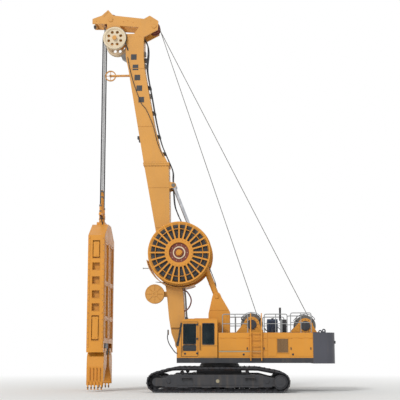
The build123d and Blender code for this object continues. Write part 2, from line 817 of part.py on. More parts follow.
def sheave(x, z, radius):
    """Grooved wheel, bored for the shaft between the plates of the head."""
    half = SHEAVE_WIDTH / 2
    groove = 35
    bore = SHEAVE_SHAFT_RADIUS + FIT
    profile = make_face(Polyline(
        (bore, -half), (radius + groove, -half), (radius + groove, -half + 12), (radius - 8, -12),
        (radius - 8, 12), (radius + groove, half - 12), (radius + groove, half), (bore, half), close=True
    ))
    return Pos(x, 0, z) * revolve(Plane.XY * profile, axis=Axis.Y)


def head_sheaves(x, z, radius):
    """Two sheaves side by side, joined by their hub sleeve."""
    wheels = [Pos(0, y, 0) * sheave(x, z, radius) for y in (-SHEAVE_OFFSET, SHEAVE_OFFSET)]
    half = SHEAVE_OFFSET - SHEAVE_WIDTH / 2
    sleeve = disc_y(x, z, SHEAVE_SHAFT_RADIUS + 25, (-half, half))
    sleeve -= disc_y(x, z, SHEAVE_SHAFT_RADIUS + FIT, (-half, half))
    return wheels[0] + sleeve + wheels[1]


def hose_pulleys():
    """Pair of large hose pulleys outside the head plates."""
    radius = HOSE_PULLEY_RADIUS
    x = hose_pulley_x()
    z = HOSE_PULLEY_Z
    half = HOSE_PULLEY_WIDTH / 2
    bore = HOSE_PULLEY_SHAFT_RADIUS + FIT
    profile = make_face(Polyline(
        (bore, -30), (radius - 90, -30), (radius - 60, -half), (radius + 30, -half), (radius - 10, -half + 30),
        (radius - 10, half - 30), (radius + 30, half), (radius - 60, half), (radius - 90, 30), (bore, 30),
        close=True,
    ))
    wheel = Pos(x, 0, z) * revolve(Plane.XY * profile, axis=Axis.Y)
    for number in range(8):
        angle = math.radians(45 * number + 22.5)
        hole_x = x + 0.6 * radius * math.cos(angle)
        hole_z = z + 0.6 * radius * math.sin(angle)
        wheel -= disc_y(hole_x, hole_z, 70, (-200, 200))
    return both_sides(Pos(0, -HOSE_PULLEY_OFFSET - half, 0) * wheel)


def guide_wheel():
    radius = GUIDE_WHEEL_RADIUS
    x = HANG_X + radius + 40
    half = GUIDE_WHEEL_WIDTH / 2
    rim = disc_y(x, GUIDE_WHEEL_Z, radius, (-half, half)) - disc_y(x, GUIDE_WHEEL_Z, radius - 45, (-half, half))
    hub = disc_y(x, GUIDE_WHEEL_Z, 60, (-half, half))
    body = rim + hub
    for number in range(4):
        spoke = Pos(radius / 2, 0, 0) * Box(radius, 20, 26)
        body += Pos(x, 0, GUIDE_WHEEL_Z) * Rot(0, 90 * number, 0) * spoke
    body -= disc_y(x, GUIDE_WHEEL_Z, 30, (-half, half))
    return body


def guide_arm():
    """Arm from the mast that carries the guide wheel."""
    x = HANG_X + GUIDE_WHEEL_RADIUS + 40
    inner = GUIDE_WHEEL_WIDTH / 2 + 6
    body = None
    mast_x = -4085
    for side in (-1, 1):
        y_range = sorted((side * inner, side * (inner + 20)))
        cheek = block((x - 45, mast_x + 30), y_range, (GUIDE_WHEEL_Z - 35, GUIDE_WHEEL_Z + 35))
        body = cheek if body is None else body + cheek
    body += disc_y(x, GUIDE_WHEEL_Z, 29.9, (-inner, inner))
    body += block((mast_x - 120, mast_x - 90), (-inner, inner), (GUIDE_WHEEL_Z - 35, GUIDE_WHEEL_Z + 35))
    body -= plate_xz(mast_upper_outline(), (-MAST_WIDTH / 2, MAST_WIDTH / 2))
    return body


def reel_bracket():
    """Bracket behind the mast that carries the axle of both hose reels."""
    outline = [(-2450, REEL_Z - 700), (-2450, REEL_Z + 700), (REEL_X + 150, REEL_Z + 130), (REEL_X + 150, REEL_Z - 130)]
    half = 330
    body = plate_xz(outline, (-half, half))
    body -= plate_xz(mast_lower_outline(), (-MAST_WIDTH / 2, MAST_WIDTH / 2))
    axle_half = REEL_INNER_Y + REEL_WIDTH + 40
    body += disc_y(REEL_X, REEL_Z, REEL_AXLE_RADIUS, (-axle_half, axle_half))
    solid = body.solids().sort_by(SortBy.VOLUME)[-1]
    return solid


def hose_reel():
    """Spoked reel, left side: outer spoked disc, solid inner disc, core and hub."""
    inner = -REEL_INNER_Y
    outer = -REEL_INNER_Y - REEL_WIDTH
    back = disc_y(REEL_X, REEL_Z, REEL_PLATE_RADIUS, (inner - REEL_DISC, inner))
    core = disc_y(REEL_X, REEL_Z, REEL_HUB_RADIUS - 80, (outer, inner))
    rim = disc_y(REEL_X, REEL_Z, REEL_RADIUS, (outer, outer + REEL_DISC))
    rim -= disc_y(REEL_X, REEL_Z, REEL_RADIUS - REEL_RIM, (outer, outer + REEL_DISC))
    ring = disc_y(REEL_X, REEL_Z, REEL_RING_RADIUS + 15, (outer, outer + REEL_DISC))
    ring -= disc_y(REEL_X, REEL_Z, REEL_RING_RADIUS - 15, (outer, outer + REEL_DISC))
    hub = disc_y(REEL_X, REEL_Z, REEL_HUB_RADIUS, (outer, outer + REEL_DISC))
    front = rim + ring + hub
    spoke_length = REEL_RADIUS - REEL_HUB_RADIUS
    for number in range(REEL_SPOKES):
        spoke = Pos(REEL_HUB_RADIUS + spoke_length / 2 - 20, 0, 0) * Box(spoke_length, REEL_DISC, REEL_SPOKE_WIDTH)
        place = Pos(REEL_X, outer + REEL_DISC / 2, REEL_Z) * Rot(0, 360 / REEL_SPOKES * number, 0)
        front += place * spoke
    body = back + core + front
    body -= disc_y(REEL_X, REEL_Z, REEL_RECESS_RADIUS, (outer - 1, outer + 90))
    body -= disc_y(REEL_X, REEL_Z, REEL_AXLE_RADIUS + 0.5, (outer - 1, inner + 1))
    return body


def hose_pack():
    """Wound hose between the reel's discs."""
    inner = -REEL_INNER_Y - REEL_DISC - 60
    outer = -REEL_INNER_Y - REEL_WIDTH + REEL_DISC + 60
    body = disc_y(REEL_X, REEL_Z, REEL_RADIUS - 120, (outer, inner))
    return body - disc_y(REEL_X, REEL_Z, REEL_HUB_RADIUS - 80, (outer, inner))


def cable_reel():
    half = CABLE_REEL_WIDTH / 2
    y = -MAST_WIDTH / 2 - 60 - half
    body = disc_y(CABLE_REEL_X, CABLE_REEL_Z, CABLE_REEL_RADIUS, (y - half, y - half + 25))
    body += disc_y(CABLE_REEL_X, CABLE_REEL_Z, CABLE_REEL_RADIUS, (y + half - 25, y + half))
    body += disc_y(CABLE_REEL_X, CABLE_REEL_Z, CABLE_REEL_RADIUS - 110, (y - half, y + half))
    body -= disc_y(CABLE_REEL_X, CABLE_REEL_Z, 40.3, (y - half - 1, y + half + 1))
    return body


def cable_reel_bracket():
    y = -MAST_WIDTH / 2
    plate = block((CABLE_REEL_X - 120, -2200), (y, y + 40), (CABLE_REEL_Z - 120, CABLE_REEL_Z + 120))
    plate -= plate_xz(mast_lower_outline(), (-MAST_WIDTH / 2, MAST_WIDTH / 2))
    pin = disc_y(CABLE_REEL_X, CABLE_REEL_Z, 40, (y - 60 - CABLE_REEL_WIDTH, y + 40))
    return plate + pin


# Luffing cylinders

def cylinder_direction():
    line = Vector(MAST_EYE_X - TOWER_PIN_X, 0, MAST_EYE_Z - TOWER_PIN_Z)
    return line.normalized(), line.length


def point_on_cylinder(distance, y):
    direction, length = cylinder_direction()
    return (TOWER_PIN_X + direction.X * distance, y, TOWER_PIN_Z + direction.Z * distance)


def luff_barrels():
    direction, length = cylinder_direction()
    half = CYLINDER_EYE_RADIUS / 2
    y = -CYLINDER_OFFSET
    body = rod_between(point_on_cylinder(60, y), point_on_cylinder(length * BARREL_SHARE, y), BARREL_RADIUS)
    body += disc_y(TOWER_PIN_X, TOWER_PIN_Z, CYLINDER_EYE_RADIUS, (y - half, y + half))
    body -= disc_y(TOWER_PIN_X, TOWER_PIN_Z, CYLINDER_PIN_RADIUS + FIT, (y - 300, y + 300))
    body -= rod_between(
        point_on_cylinder(length * 0.2, y), point_on_cylinder(length * BARREL_SHARE + 1, y), ROD_RADIUS + FIT
    )
    return both_sides(body)


def luff_rods():
    direction, length = cylinder_direction()
    half = CYLINDER_EYE_RADIUS / 2
    y = -CYLINDER_OFFSET
    body = rod_between(point_on_cylinder(length * 0.32, y), point_on_cylinder(length - 60, y), ROD_RADIUS)
    body += disc_y(MAST_EYE_X, MAST_EYE_Z, CYLINDER_EYE_RADIUS, (y - half, y + half))
    body -= disc_y(MAST_EYE_X, MAST_EYE_Z, CYLINDER_PIN_RADIUS + EYE_DRIFT, (y - 300, y + 300))
    return both_sides(body)


def mast_eye():
    """Lugs and pin behind the mast that the rods hold."""
    inner = CYLINDER_OFFSET + CYLINDER_EYE_RADIUS / 2 + 12
    outline = [(-2400, MAST_EYE_Z - 200), (-2400, MAST_EYE_Z + 200), (MAST_EYE_X, MAST_EYE_Z + 120), (MAST_EYE_X, MAST_EYE_Z - 120)]
    lug = plate_xz(outline, (-inner - 15, -inner))
    lug += disc_y(MAST_EYE_X, MAST_EYE_Z, 120, (-inner - 15, -inner))
    lug -= plate_xz(mast_lower_outline(), (-MAST_WIDTH / 2, MAST_WIDTH / 2))
    body = lug + mirrored(lug)
    body += disc_y(MAST_EYE_X, MAST_EYE_Z, CYLINDER_PIN_RADIUS, (-inner, inner))
    return body


# Hanging ropes and hoses

def hanging_line(y, low, high, radius):
    return Pos(HANG_X, y, (low + high) / 2) * Cylinder(radius, high - low)


def hoist_ropes():
    return both_sides(hanging_line(-SHEAVE_OFFSET, ROPE_SOCKET_TOP, FRONT_SHEAVE_Z, ROPE_RADIUS))


def hose_y():
    return HOSE_PULLEY_OFFSET + HOSE_PULLEY_WIDTH / 2


def hanging_hoses():
    return both_sides(hanging_line(-hose_y(), HOSE_SOCKET_TOP, HOSE_PULLEY_Z, HOSE_RADIUS))


# Grab

def grab_frame():
    """Guide frame of the grab: shell of plates with windows in its narrow and wide faces."""
    half_x = GRAB_THICKNESS / 2
    half_y = GRAB_WIDTH / 2
    outline = [
        (-half_y, GRAB_LOW),
        (half_y, GRAB_LOW),
        (half_y, GRAB_SHOULDER_Z),
        (380, GRAB_TOP),
        (-380, GRAB_TOP),
        (-half_y, GRAB_SHOULDER_Z),
    ]
    body = plate_yz(outline, (HANG_X - half_x, HANG_X + half_x))
    inner_x = half_x - GRAB_PLATE
    room = plate_yz(offset(make_face(Polyline(*outline, close=True)), -GRAB_PLATE), (HANG_X - inner_x, HANG_X + inner_x))
    bay = (-JAW_BAY_HALF, JAW_BAY_HALF)
    body -= room
    body -= block((HANG_X - inner_x, HANG_X + inner_x), (-half_y + GRAB_PLATE, half_y - GRAB_PLATE), (GRAB_LOW - 1, GRAB_LOW + 200))
    body -= block((HANG_X - half_x - 1, HANG_X + half_x + 1), bay, (GRAB_LOW - 1, JAW_BAY_TOP))
    # narrow-face windows: low, high
    windows = [(5660, 6420), (5150, 5460), (4550, 4860), (3950, 4260), (3400, 3710), (2140, 3200)]
    for low, high in windows:
        body -= block((HANG_X - GRAB_WINDOW / 2, HANG_X + GRAB_WINDOW / 2), (-half_y - 1, half_y + 1), (low, high))
    # wide-face windows, each side of the middle column
    for low, high in ((2250, 3000), (3200, 4500), (4700, 6300)):
        for side in (-1, 1):
            y_range = sorted((side * 330, side * 1020))
            body -= block((HANG_X - half_x - 1, HANG_X + half_x + 1), y_range, (low, high))
    return body


def grab_head():
    """Swivel on top of the frame, with the sockets of ropes and hoses."""
    arm_top = GRAB_HEAD_TOP - 240
    body = block((HANG_X - 180, HANG_X + 180), (-330, 330), (GRAB_TOP, GRAB_TOP + 120))
    body += Pos(HANG_X, 0, (GRAB_TOP + arm_top) / 2) * Cylinder(130, arm_top - GRAB_TOP)
    body += block((HANG_X - 60, HANG_X + 60), (-hose_y() - 60, hose_y() + 60), (arm_top - 90, arm_top))
    sockets = hanging_line(-SHEAVE_OFFSET, arm_top - 50, ROPE_SOCKET_TOP, 45)
    sockets += hanging_line(-hose_y(), arm_top - 50, HOSE_SOCKET_TOP, 45)
    return body + sockets + mirrored(sockets)


def jaw_closed_outline():
    """Cheek of one jaw when shut, in Y and Z from its pivot, mouth at the machine's middle."""
    mouth = JAW_PIVOT_Y - JAW_CLEARANCE
    return [
        (mouth, -300),
        (mouth, -JAW_LIP),
        (mouth - JAW_FLAT, -JAW_LIP + JAW_FLAT),
        (-420, -640),
        (-430, -150),
        (-150, 120),
        (120, 120),
    ]


def push_pin_place():
    """Pin of the push rod on a jaw when shut, from the jaw's pivot."""
    return (-572, -175)


def jaw(side):
    """One jaw with cheeks, bent back, ribs and teeth, turned open; side is -1 near, 1 far."""
    half_x = GRAB_THICKNESS / 2
    inner_x = half_x - JAW_PLATE
    mouth = JAW_PIVOT_Y - JAW_CLEARANCE
    body = plate_yz(jaw_closed_outline(), (-half_x, half_x))
    room = [
        (mouth + 1, 200),
        (mouth + 1, -JAW_LIP + 1.4 * JAW_PLATE),
        (mouth - JAW_FLAT, -JAW_LIP + JAW_FLAT + 1.4 * JAW_PLATE),
        (-420 + JAW_PLATE, -640 + 0.6 * JAW_PLATE),
        (-430 + JAW_PLATE, -150),
        (-430 + JAW_PLATE, 200),
    ]
    body -= plate_yz(room, (-inner_x, inner_x))
    pitch = GRAB_THICKNESS / 5
    lip = Pos(0, mouth, -JAW_LIP) * Rot(JAW_OPEN, 0, 0)
    count = 5 if side < 0 else 4
    for number in range(count):
        x = (number - (count - 1) / 2) * pitch
        x_range = (x - TOOTH_WIDTH / 2, x + TOOTH_WIDTH / 2)
        tooth = block(x_range, (-TOOTH_THICKNESS, 0), (-TOOTH_LENGTH, 0))
        holder = block(x_range, (-TOOTH_THICKNESS, 5), (0, 150))
        body += lip * (tooth + holder)
    for number in range(4):
        x = (number - 1.5) * pitch
        body += lip * block((x - 12, x + 12), (-60, 5), (200, 740))
    pin_y, pin_z = push_pin_place()
    for x in (-1, 1):
        x_range = sorted((x * 70, x * 100))
        lug = disc_x(pin_y, pin_z, 60, x_range) + block(x_range, (pin_y, -400), (pin_z - 60, pin_z + 60))
        body += lug
    body += disc_x(pin_y, pin_z, PUSH_PIN_RADIUS, (-85, 85))
    body -= disc_x(0, 0, JAW_PIN_RADIUS + FIT, (-half_x - 1, half_x + 1))
    body = Rot(-JAW_OPEN, 0, 0) * body
    body = Pos(HANG_X, -JAW_PIVOT_Y, JAW_PIVOT_Z) * body
    if side > 0:
        body = mirrored(body)
    return body


def jaw_bearing():
    """Block under the frame that carries both jaw pins."""
    half_x = GRAB_THICKNESS / 2 - GRAB_PLATE
    neck_x = GRAB_THICKNESS / 2 - JAW_PLATE - 20
    body = block((HANG_X - half_x, HANG_X + half_x), (-GRAB_COLUMN_HALF, GRAB_COLUMN_HALF), (JAW_BAY_TOP, JAW_BAY_TOP + 250))
    body += block((HANG_X - neck_x, HANG_X + neck_x), (-JAW_PIVOT_Y, JAW_PIVOT_Y), (JAW_PIVOT_Z - 100, JAW_BAY_TOP))
    for y in (-JAW_PIVOT_Y, JAW_PIVOT_Y):
        body += disc_x(y, JAW_PIVOT_Z, 100, (HANG_X - neck_x, HANG_X + neck_x))
        body += disc_x(y, JAW_PIVOT_Z, JAW_PIN_RADIUS, (HANG_X - GRAB_THICKNESS / 2, HANG_X + GRAB_THICKNESS / 2))
    return body


def grab_cylinder():
    """Barrel of the closing cylinder, hung from a plate inside the frame."""
    half_x = GRAB_THICKNESS / 2 - GRAB_PLATE
    body = Pos(HANG_X, 0, 5150) * Cylinder(GRAB_BARREL_RADIUS, 2500)
    body += block((HANG_X - half_x, HANG_X + half_x), (-GRAB_COLUMN_HALF, GRAB_COLUMN_HALF), (6400, 6500))
    body -= Pos(HANG_X, 0, 4700) * Cylinder(GRAB_ROD_RADIUS + FIT, 1700)
    return body


def crosshead():
    """Sliding crosshead with the piston rod above and the two push rods below."""
    pin_y, pin_z = push_pin_place()
    turn = math.radians(JAW_OPEN)
    open_z = JAW_PIVOT_Z - pin_y * math.sin(turn) + pin_z * math.cos(turn)
    swing = math.hypot(pin_y, pin_z)
    open_y = -pin_y * math.cos(turn) - pin_z * math.sin(turn)
    eye_y = JAW_PIVOT_Y + (swing + open_y) / 2
    body = block((HANG_X - 120, HANG_X + 120), (-eye_y - 90, eye_y + 90), (CROSSHEAD_Z, CROSSHEAD_Z + 160))
    body += Pos(HANG_X, 0, (CROSSHEAD_Z + 4600) / 2) * Cylinder(GRAB_ROD_RADIUS, 4600 - CROSSHEAD_Z)
    rod = Pos(HANG_X, -eye_y, (CROSSHEAD_Z + open_z) / 2 + 45) * Cylinder(PUSH_ROD_RADIUS, CROSSHEAD_Z - open_z - 90)
    hole = PUSH_PIN_RADIUS + PUSH_DRIFT
    rod += disc_x(-eye_y, open_z, hole + PUSH_EYE_WALL, (HANG_X - 55, HANG_X + 55))
    rod -= disc_x(-eye_y, open_z, hole, (HANG_X - 60, HANG_X + 60))
    return body + rod + mirrored(rod)


PARTS = {
    "carbody": carbody,
    "track_frames": lambda: both_sides(track_frame()),
    "track_left": track,
    "track_right": lambda: mirrored(track()),
    "idlers": lambda: both_sides(end_wheel(-(TRACK_LENGTH / 2 - TRACK_END_RADIUS), False)),
    "sprockets": lambda: both_sides(end_wheel(TRACK_LENGTH / 2 - TRACK_END_RADIUS, True)),
    "track_rollers": rollers,
    "slew_ring": slew_ring,
    "deck_frame": deck_frame,
    "mast_foot_pin": mast_foot_pin,
    "side_housings": lambda: both_sides(side_housing()),
    "engine_housing": engine_housing,
    "winch_platform": winch_platform,
    "counterweight": counterweight,
    "engine_block": engine_block,
    "cab_shell": cab_shell,
    "cab_glass": cab_glass,
    "cab_door": cab_door,
    "door_glass": door_glass,
    "operator_seat": operator_seat,
    "cab_console": cab_console,
    "luff_tower": luff_tower,
    "tower_pin": tower_pin,
    "winch_frame_front": lambda: winch_frame(WINCH_FRONT_X, WINCH_FRONT_Z, WINCH_FRONT_RADIUS),
    "winch_frame_rear": lambda: winch_frame(WINCH_REAR_X, WINCH_REAR_Z, WINCH_REAR_RADIUS),
    "winch_drum_front": lambda: winch_drum(WINCH_FRONT_X, WINCH_FRONT_Z, WINCH_FRONT_RADIUS),
    "winch_drum_rear": lambda: winch_drum(WINCH_REAR_X, WINCH_REAR_Z, WINCH_REAR_RADIUS),
    "cooler_box": cooler_box,
    "exhaust": exhaust,
    "ladder": ladder,
    "handrails": handrails,
    "mast_lower": mast_lower,
    "mast_upper": mast_upper,
    "mast_head": mast_head,
    "sheaves_front": lambda: head_sheaves(front_sheave_x(), FRONT_SHEAVE_Z, FRONT_SHEAVE_RADIUS),
    "sheaves_rear": lambda: head_sheaves(REAR_SHEAVE_X, REAR_SHEAVE_Z, REAR_SHEAVE_RADIUS),
    "hose_pulleys": hose_pulleys,
    "guide_arm": guide_arm,
    "guide_wheel": guide_wheel,
    "reel_bracket": reel_bracket,
    "hose_reel_left": hose_reel,
    "hose_reel_right": lambda: mirrored(hose_reel()),
    "hose_pack_left": hose_pack,
    "hose_pack_right": lambda: mirrored(hose_pack()),
    "cable_reel": cable_reel,
    "cable_reel_bracket": cable_reel_bracket,
    "luff_barrels": luff_barrels,
    "luff_rods": luff_rods,
    "mast_eye": mast_eye,
    "hoist_ropes": hoist_ropes,
    "hanging_hoses": hanging_hoses,
    "grab_frame": grab_frame,
    "grab_head": grab_head,
    "grab_cylinder": grab_cylinder,
    "crosshead": crosshead,
    "jaw_bearing": jaw_bearing,
    "jaw_near": lambda: jaw(-1),
    "jaw_far": lambda: jaw(1),
}

os.makedirs("parts", exist_ok=True)
for name, make in PARTS.items():
    shape = Pos(SLEW_X, 0, 0) * make()
    export_step(shape, f"parts/{name}.step")
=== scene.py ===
import json
import math

import bpy
import bmesh
from mathutils import Matrix, Vector


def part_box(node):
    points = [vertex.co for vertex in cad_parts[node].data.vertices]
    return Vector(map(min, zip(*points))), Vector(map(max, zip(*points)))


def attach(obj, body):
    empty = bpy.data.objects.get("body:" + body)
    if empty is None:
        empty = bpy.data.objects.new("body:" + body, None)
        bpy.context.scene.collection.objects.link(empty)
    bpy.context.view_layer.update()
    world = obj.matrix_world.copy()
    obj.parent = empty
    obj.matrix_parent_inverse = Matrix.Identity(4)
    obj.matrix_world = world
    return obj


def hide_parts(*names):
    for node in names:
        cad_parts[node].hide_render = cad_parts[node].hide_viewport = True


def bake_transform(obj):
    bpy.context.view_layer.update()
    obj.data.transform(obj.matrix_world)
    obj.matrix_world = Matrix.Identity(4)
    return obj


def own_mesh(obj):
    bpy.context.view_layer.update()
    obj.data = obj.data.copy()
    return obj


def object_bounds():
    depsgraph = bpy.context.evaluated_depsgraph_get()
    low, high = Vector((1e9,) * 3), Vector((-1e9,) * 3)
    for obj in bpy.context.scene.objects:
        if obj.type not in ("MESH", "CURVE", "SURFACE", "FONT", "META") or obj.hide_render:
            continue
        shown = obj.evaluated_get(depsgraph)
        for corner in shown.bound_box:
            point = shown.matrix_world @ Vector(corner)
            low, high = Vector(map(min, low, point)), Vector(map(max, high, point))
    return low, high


# Diaphragm wall grab on tracks. Metres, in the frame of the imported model:
# the grab hangs at -X, the counterweight is at +X, Z is up.
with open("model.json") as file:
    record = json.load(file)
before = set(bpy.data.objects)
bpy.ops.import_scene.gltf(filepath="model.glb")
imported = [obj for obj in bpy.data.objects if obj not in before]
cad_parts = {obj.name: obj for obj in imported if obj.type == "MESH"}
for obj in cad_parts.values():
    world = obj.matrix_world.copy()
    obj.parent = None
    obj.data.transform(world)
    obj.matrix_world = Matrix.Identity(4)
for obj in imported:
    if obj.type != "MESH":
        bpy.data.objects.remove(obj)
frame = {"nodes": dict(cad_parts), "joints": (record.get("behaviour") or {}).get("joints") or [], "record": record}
cad_box = [list(corner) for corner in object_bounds()]

JOINTS = {joint["name"]: joint for joint in frame["joints"]}
SLOT_OF_NODE = {part["node"]: part["material_slot"] for part in frame["record"]["subparts"]}

# Places below are measured along X from the slewing axis, as on the real machine
SLEW_X = JOINTS["slewing"]["pos_m"][0]
LEFT = -1
RIGHT = 1
SIDES = (LEFT, RIGHT)


def at(x, y, z):
    """Point from its distance ahead of or behind the slewing axis."""
    return Vector((x + SLEW_X, y, z))


def pivot(joint):
    """Point on a joint's axis."""
    return Vector(JOINTS[joint]["pos_m"])


# Materials

def colour(red, green, blue):
    """Linear colour from the 0 to 255 values that it is seen as."""
    shares = [value / 255 for value in (red, green, blue)]
    linear = [s / 12.92 if s <= 0.04045 else ((s + 0.055) / 1.055) ** 2.4 for s in shares]
    return (*linear, 1.0)


class Surface:
    """Node tree of one material, built round its shader."""

    def __init__(self, name):
        self.material = bpy.data.materials.new(name)
        self.material.use_nodes = True
        self.tree = self.material.node_tree
        self.shader = self.tree.nodes["Principled BSDF"]
        self.place = self.node("ShaderNodeTexCoord").outputs["Object"]
        self.normal = None

    def node(self, kind, inputs=None, **settings):
        """New node with its settings and inputs."""
        made = self.tree.nodes.new(kind)
        for name, value in settings.items():
            setattr(made, name, value)
        self.feed(made, inputs or {})
        return made

    def feed(self, node, inputs):
        """Links or sets inputs of a node, by name or number."""
        for name, value in inputs.items():
            if isinstance(value, bpy.types.NodeSocket):
                self.tree.links.new(value, node.inputs[name])
            elif value is not None:
                node.inputs[name].default_value = value

    def stretched(self, scale):
        """Place, scaled apart along each axis."""
        return self.node("ShaderNodeMapping", {"Vector": self.place, "Scale": scale}).outputs[0]

    def noise(self, scale, detail=3.0, stretch=None):
        """Cloudy pattern, stretched if asked."""
        place = self.place if stretch is None else self.stretched(stretch)
        inputs = {"Vector": place, "Scale": scale, "Detail": detail}
        return self.node("ShaderNodeTexNoise", inputs).outputs["Fac"]

    def spread(self, value, low, high, to_low=0.0, to_high=1.0):
        """Value from low to high, turned into a range of its own."""
        return self.node(
            "ShaderNodeMapRange",
            {"Value": value, "From Min": low, "From Max": high, "To Min": to_low, "To Max": to_high},
        ).outputs[0]

    def times(self, first, second):
        """Product of two values."""
        return self.node("ShaderNodeMath", {0: first, 1: second}, operation="MULTIPLY").outputs[0]

    def mix(self, share, first, second):
        """Colour between two others."""
        return self.node("ShaderNodeMix", {0: share, 6: first, 7: second}, data_type="RGBA").outputs[2]

    def edges(self, radius=0.012):
        """Rounded edges for the light, and how near each point is to an edge."""
        bevel = self.node("ShaderNodeBevel", {"Radius": radius}, samples=4)
        flat = self.node("ShaderNodeNewGeometry").outputs["Normal"]
        dot = self.node("ShaderNodeVectorMath", {0: bevel.outputs[0], 1: flat}, operation="DOT_PRODUCT")
        self.normal = bevel.outputs[0]
        return self.spread(dot.outputs["Value"], 0.985, 0.86)

    def bump(self, height, strength, distance=0.01):
        """Relief over the normal so far."""
        inputs = {"Height": height, "Strength": strength, "Distance": distance}
        if self.normal is not None:
            inputs["Normal"] = self.normal
        self.normal = self.node("ShaderNodeBump", inputs).outputs[0]

    def finish(self, base, roughness, metallic=0.0, coat=0.0):
        """Feeds the shader and hands back the material."""
        self.feed(self.shader, {
            "Base Color": base, "Roughness": roughness, "Normal": self.normal, "Metallic": metallic,
            "Coat Weight": coat, "Coat Roughness": 0.12,
        })
        return self.material


DUST = colour(150, 128, 98)
PRIMER = colour(120, 96, 70)
RUST = colour(96, 58, 34)


def painted(name, paint, wear=0.5, dust=0.35, roughness=0.42):
    """Sprayed steel: slight cloudiness, dust on ledges and in upright streaks, chips along the edges."""
    s = Surface(name)
    edge = s.edges()
    cloud = s.spread(s.noise(0.7, 4.0), 0.3, 0.7)
    darker = tuple(0.86 * value for value in paint[:3]) + (1.0,)
    base = s.mix(cloud, paint, darker)
    streak = s.spread(s.noise(5.0, 5.0, stretch=(1.0, 1.0, 0.07)), 0.52, 0.78, 0.0, 0.28)
    base = s.mix(s.times(streak, dust), base, DUST)
    up = s.node("ShaderNodeSeparateXYZ", {"Vector": s.node("ShaderNodeNewGeometry").outputs["Normal"]})
    ledge = s.times(s.spread(up.outputs["Z"], 0.6, 1.0), s.spread(s.noise(2.5, 6.0), 0.3, 0.75))
    base = s.mix(s.times(ledge, dust), base, DUST)
    chips = s.times(edge, s.spread(s.noise(26.0, 5.0), 0.52, 0.66))
    base = s.mix(s.times(chips, wear), base, PRIMER)
    s.bump(s.noise(160.0, 2.0), 0.06, 0.002)
    rough = s.spread(s.noise(3.0, 4.0), 0.3, 0.7, roughness - 0.07, roughness + 0.12)
    return s.finish(base, rough, coat=0.12)


def worn_metal(name, metal, rough, rust=0.3, metallic=0.85):
    """Bare or cast steel with stains of rust and rubbed edges."""
    s = Surface(name)
    edge = s.edges(0.008)
    mottle = s.spread(s.noise(6.0, 6.0), 0.3, 0.7)
    darker = tuple(0.6 * value for value in metal[:3]) + (1.0,)
    brighter = tuple(min(1.0, 1.6 * value) for value in metal[:3]) + (1.0,)
    base = s.mix(mottle, metal, darker)
    base = s.mix(s.times(edge, 0.6), base, brighter)
    stain = s.spread(s.noise(3.5, 8.0), 0.56, 0.72)
    base = s.mix(s.times(stain, rust), base, RUST)
    s.bump(s.noise(60.0, 6.0), 0.18, 0.004)
    return s.finish(base, s.spread(mottle, 0.0, 1.0, rough, rough + 0.2), metallic=metallic)


def rubber(name, tone):
    """Matt hose or seal."""
    s = Surface(name)
    s.edges(0.004)
    dusty = tuple(0.5 * value + 0.06 for value in tone[:3]) + (1.0,)
    base = s.mix(s.spread(s.noise(9.0, 6.0), 0.42, 0.75), tone, dusty)
    s.bump(s.noise(220.0, 2.0), 0.12, 0.002)
    return s.finish(base, 0.62)


def wire_rope(name):
    """Greased steel wire, painted darker in the lays as shade."""
    s = Surface(name)
    lay = s.node(
        "ShaderNodeTexWave",
        {"Vector": s.place, "Scale": 11.0, "Distortion": 0.6},
        bands_direction="DIAGONAL",
    ).outputs["Fac"]
    # the lay grooves get a darker grey: painted shade between the strands
    base = s.mix(s.spread(lay, 0.2, 0.8), colour(96, 96, 96), colour(150, 150, 148))
    grease = s.spread(s.noise(4.0, 5.0), 0.55, 0.7, 0.0, 0.6)
    base = s.mix(grease, base, colour(70, 66, 58))
    s.bump(lay, 0.4, 0.004)
    return s.finish(base, 0.5, metallic=0.55)


def glazing(name):
    """Tinted window glass with a faint film of dust."""
    s = Surface(name)
    film = s.spread(s.noise(2.0, 5.0), 0.35, 0.8)
    base = s.mix(film, colour(52, 70, 78), colour(88, 100, 104))
    s.feed(s.shader, {"Transmission Weight": 0.72, "IOR": 1.12, "Specular IOR Level": 0.9})
    return s.finish(base, s.spread(film, 0.0, 1.0, 0.04, 0.14))


def woven(name, tone):
    """Seat cloth: fine crossed threads and a soft sheen."""
    s = Surface(name)
    threads = [
        s.node("ShaderNodeTexWave", {"Vector": s.place, "Scale": 90.0}, bands_direction=way).outputs["Fac"]
        for way in ("Y", "Z")
    ]
    weave = s.times(threads[0], threads[1])
    lighter = tuple(min(1.0, 2.2 * value + 0.01) for value in tone[:3]) + (1.0,)
    base = s.mix(weave, tone, lighter)
    s.bump(weave, 0.5, 0.002)
    s.feed(s.shader, {"Sheen Weight": 0.3})
    return s.finish(base, 0.9)


def plastic(name, tone, roughness=0.5):
    """Moulded plastic with a fine grain."""
    s = Surface(name)
    s.edges(0.005)
    lighter = tuple(1.5 * value + 0.01 for value in tone[:3]) + (1.0,)
    base = s.mix(s.spread(s.noise(12.0, 4.0), 0.4, 0.8), tone, lighter)
    s.bump(s.noise(300.0, 2.0), 0.15, 0.001)
    return s.finish(base, s.spread(s.noise(7.0, 3.0), 0.3, 0.7, roughness - 0.06, roughness + 0.1))


YELLOW = colour(218, 146, 40)
MAST_YELLOW = colour(214, 152, 66)

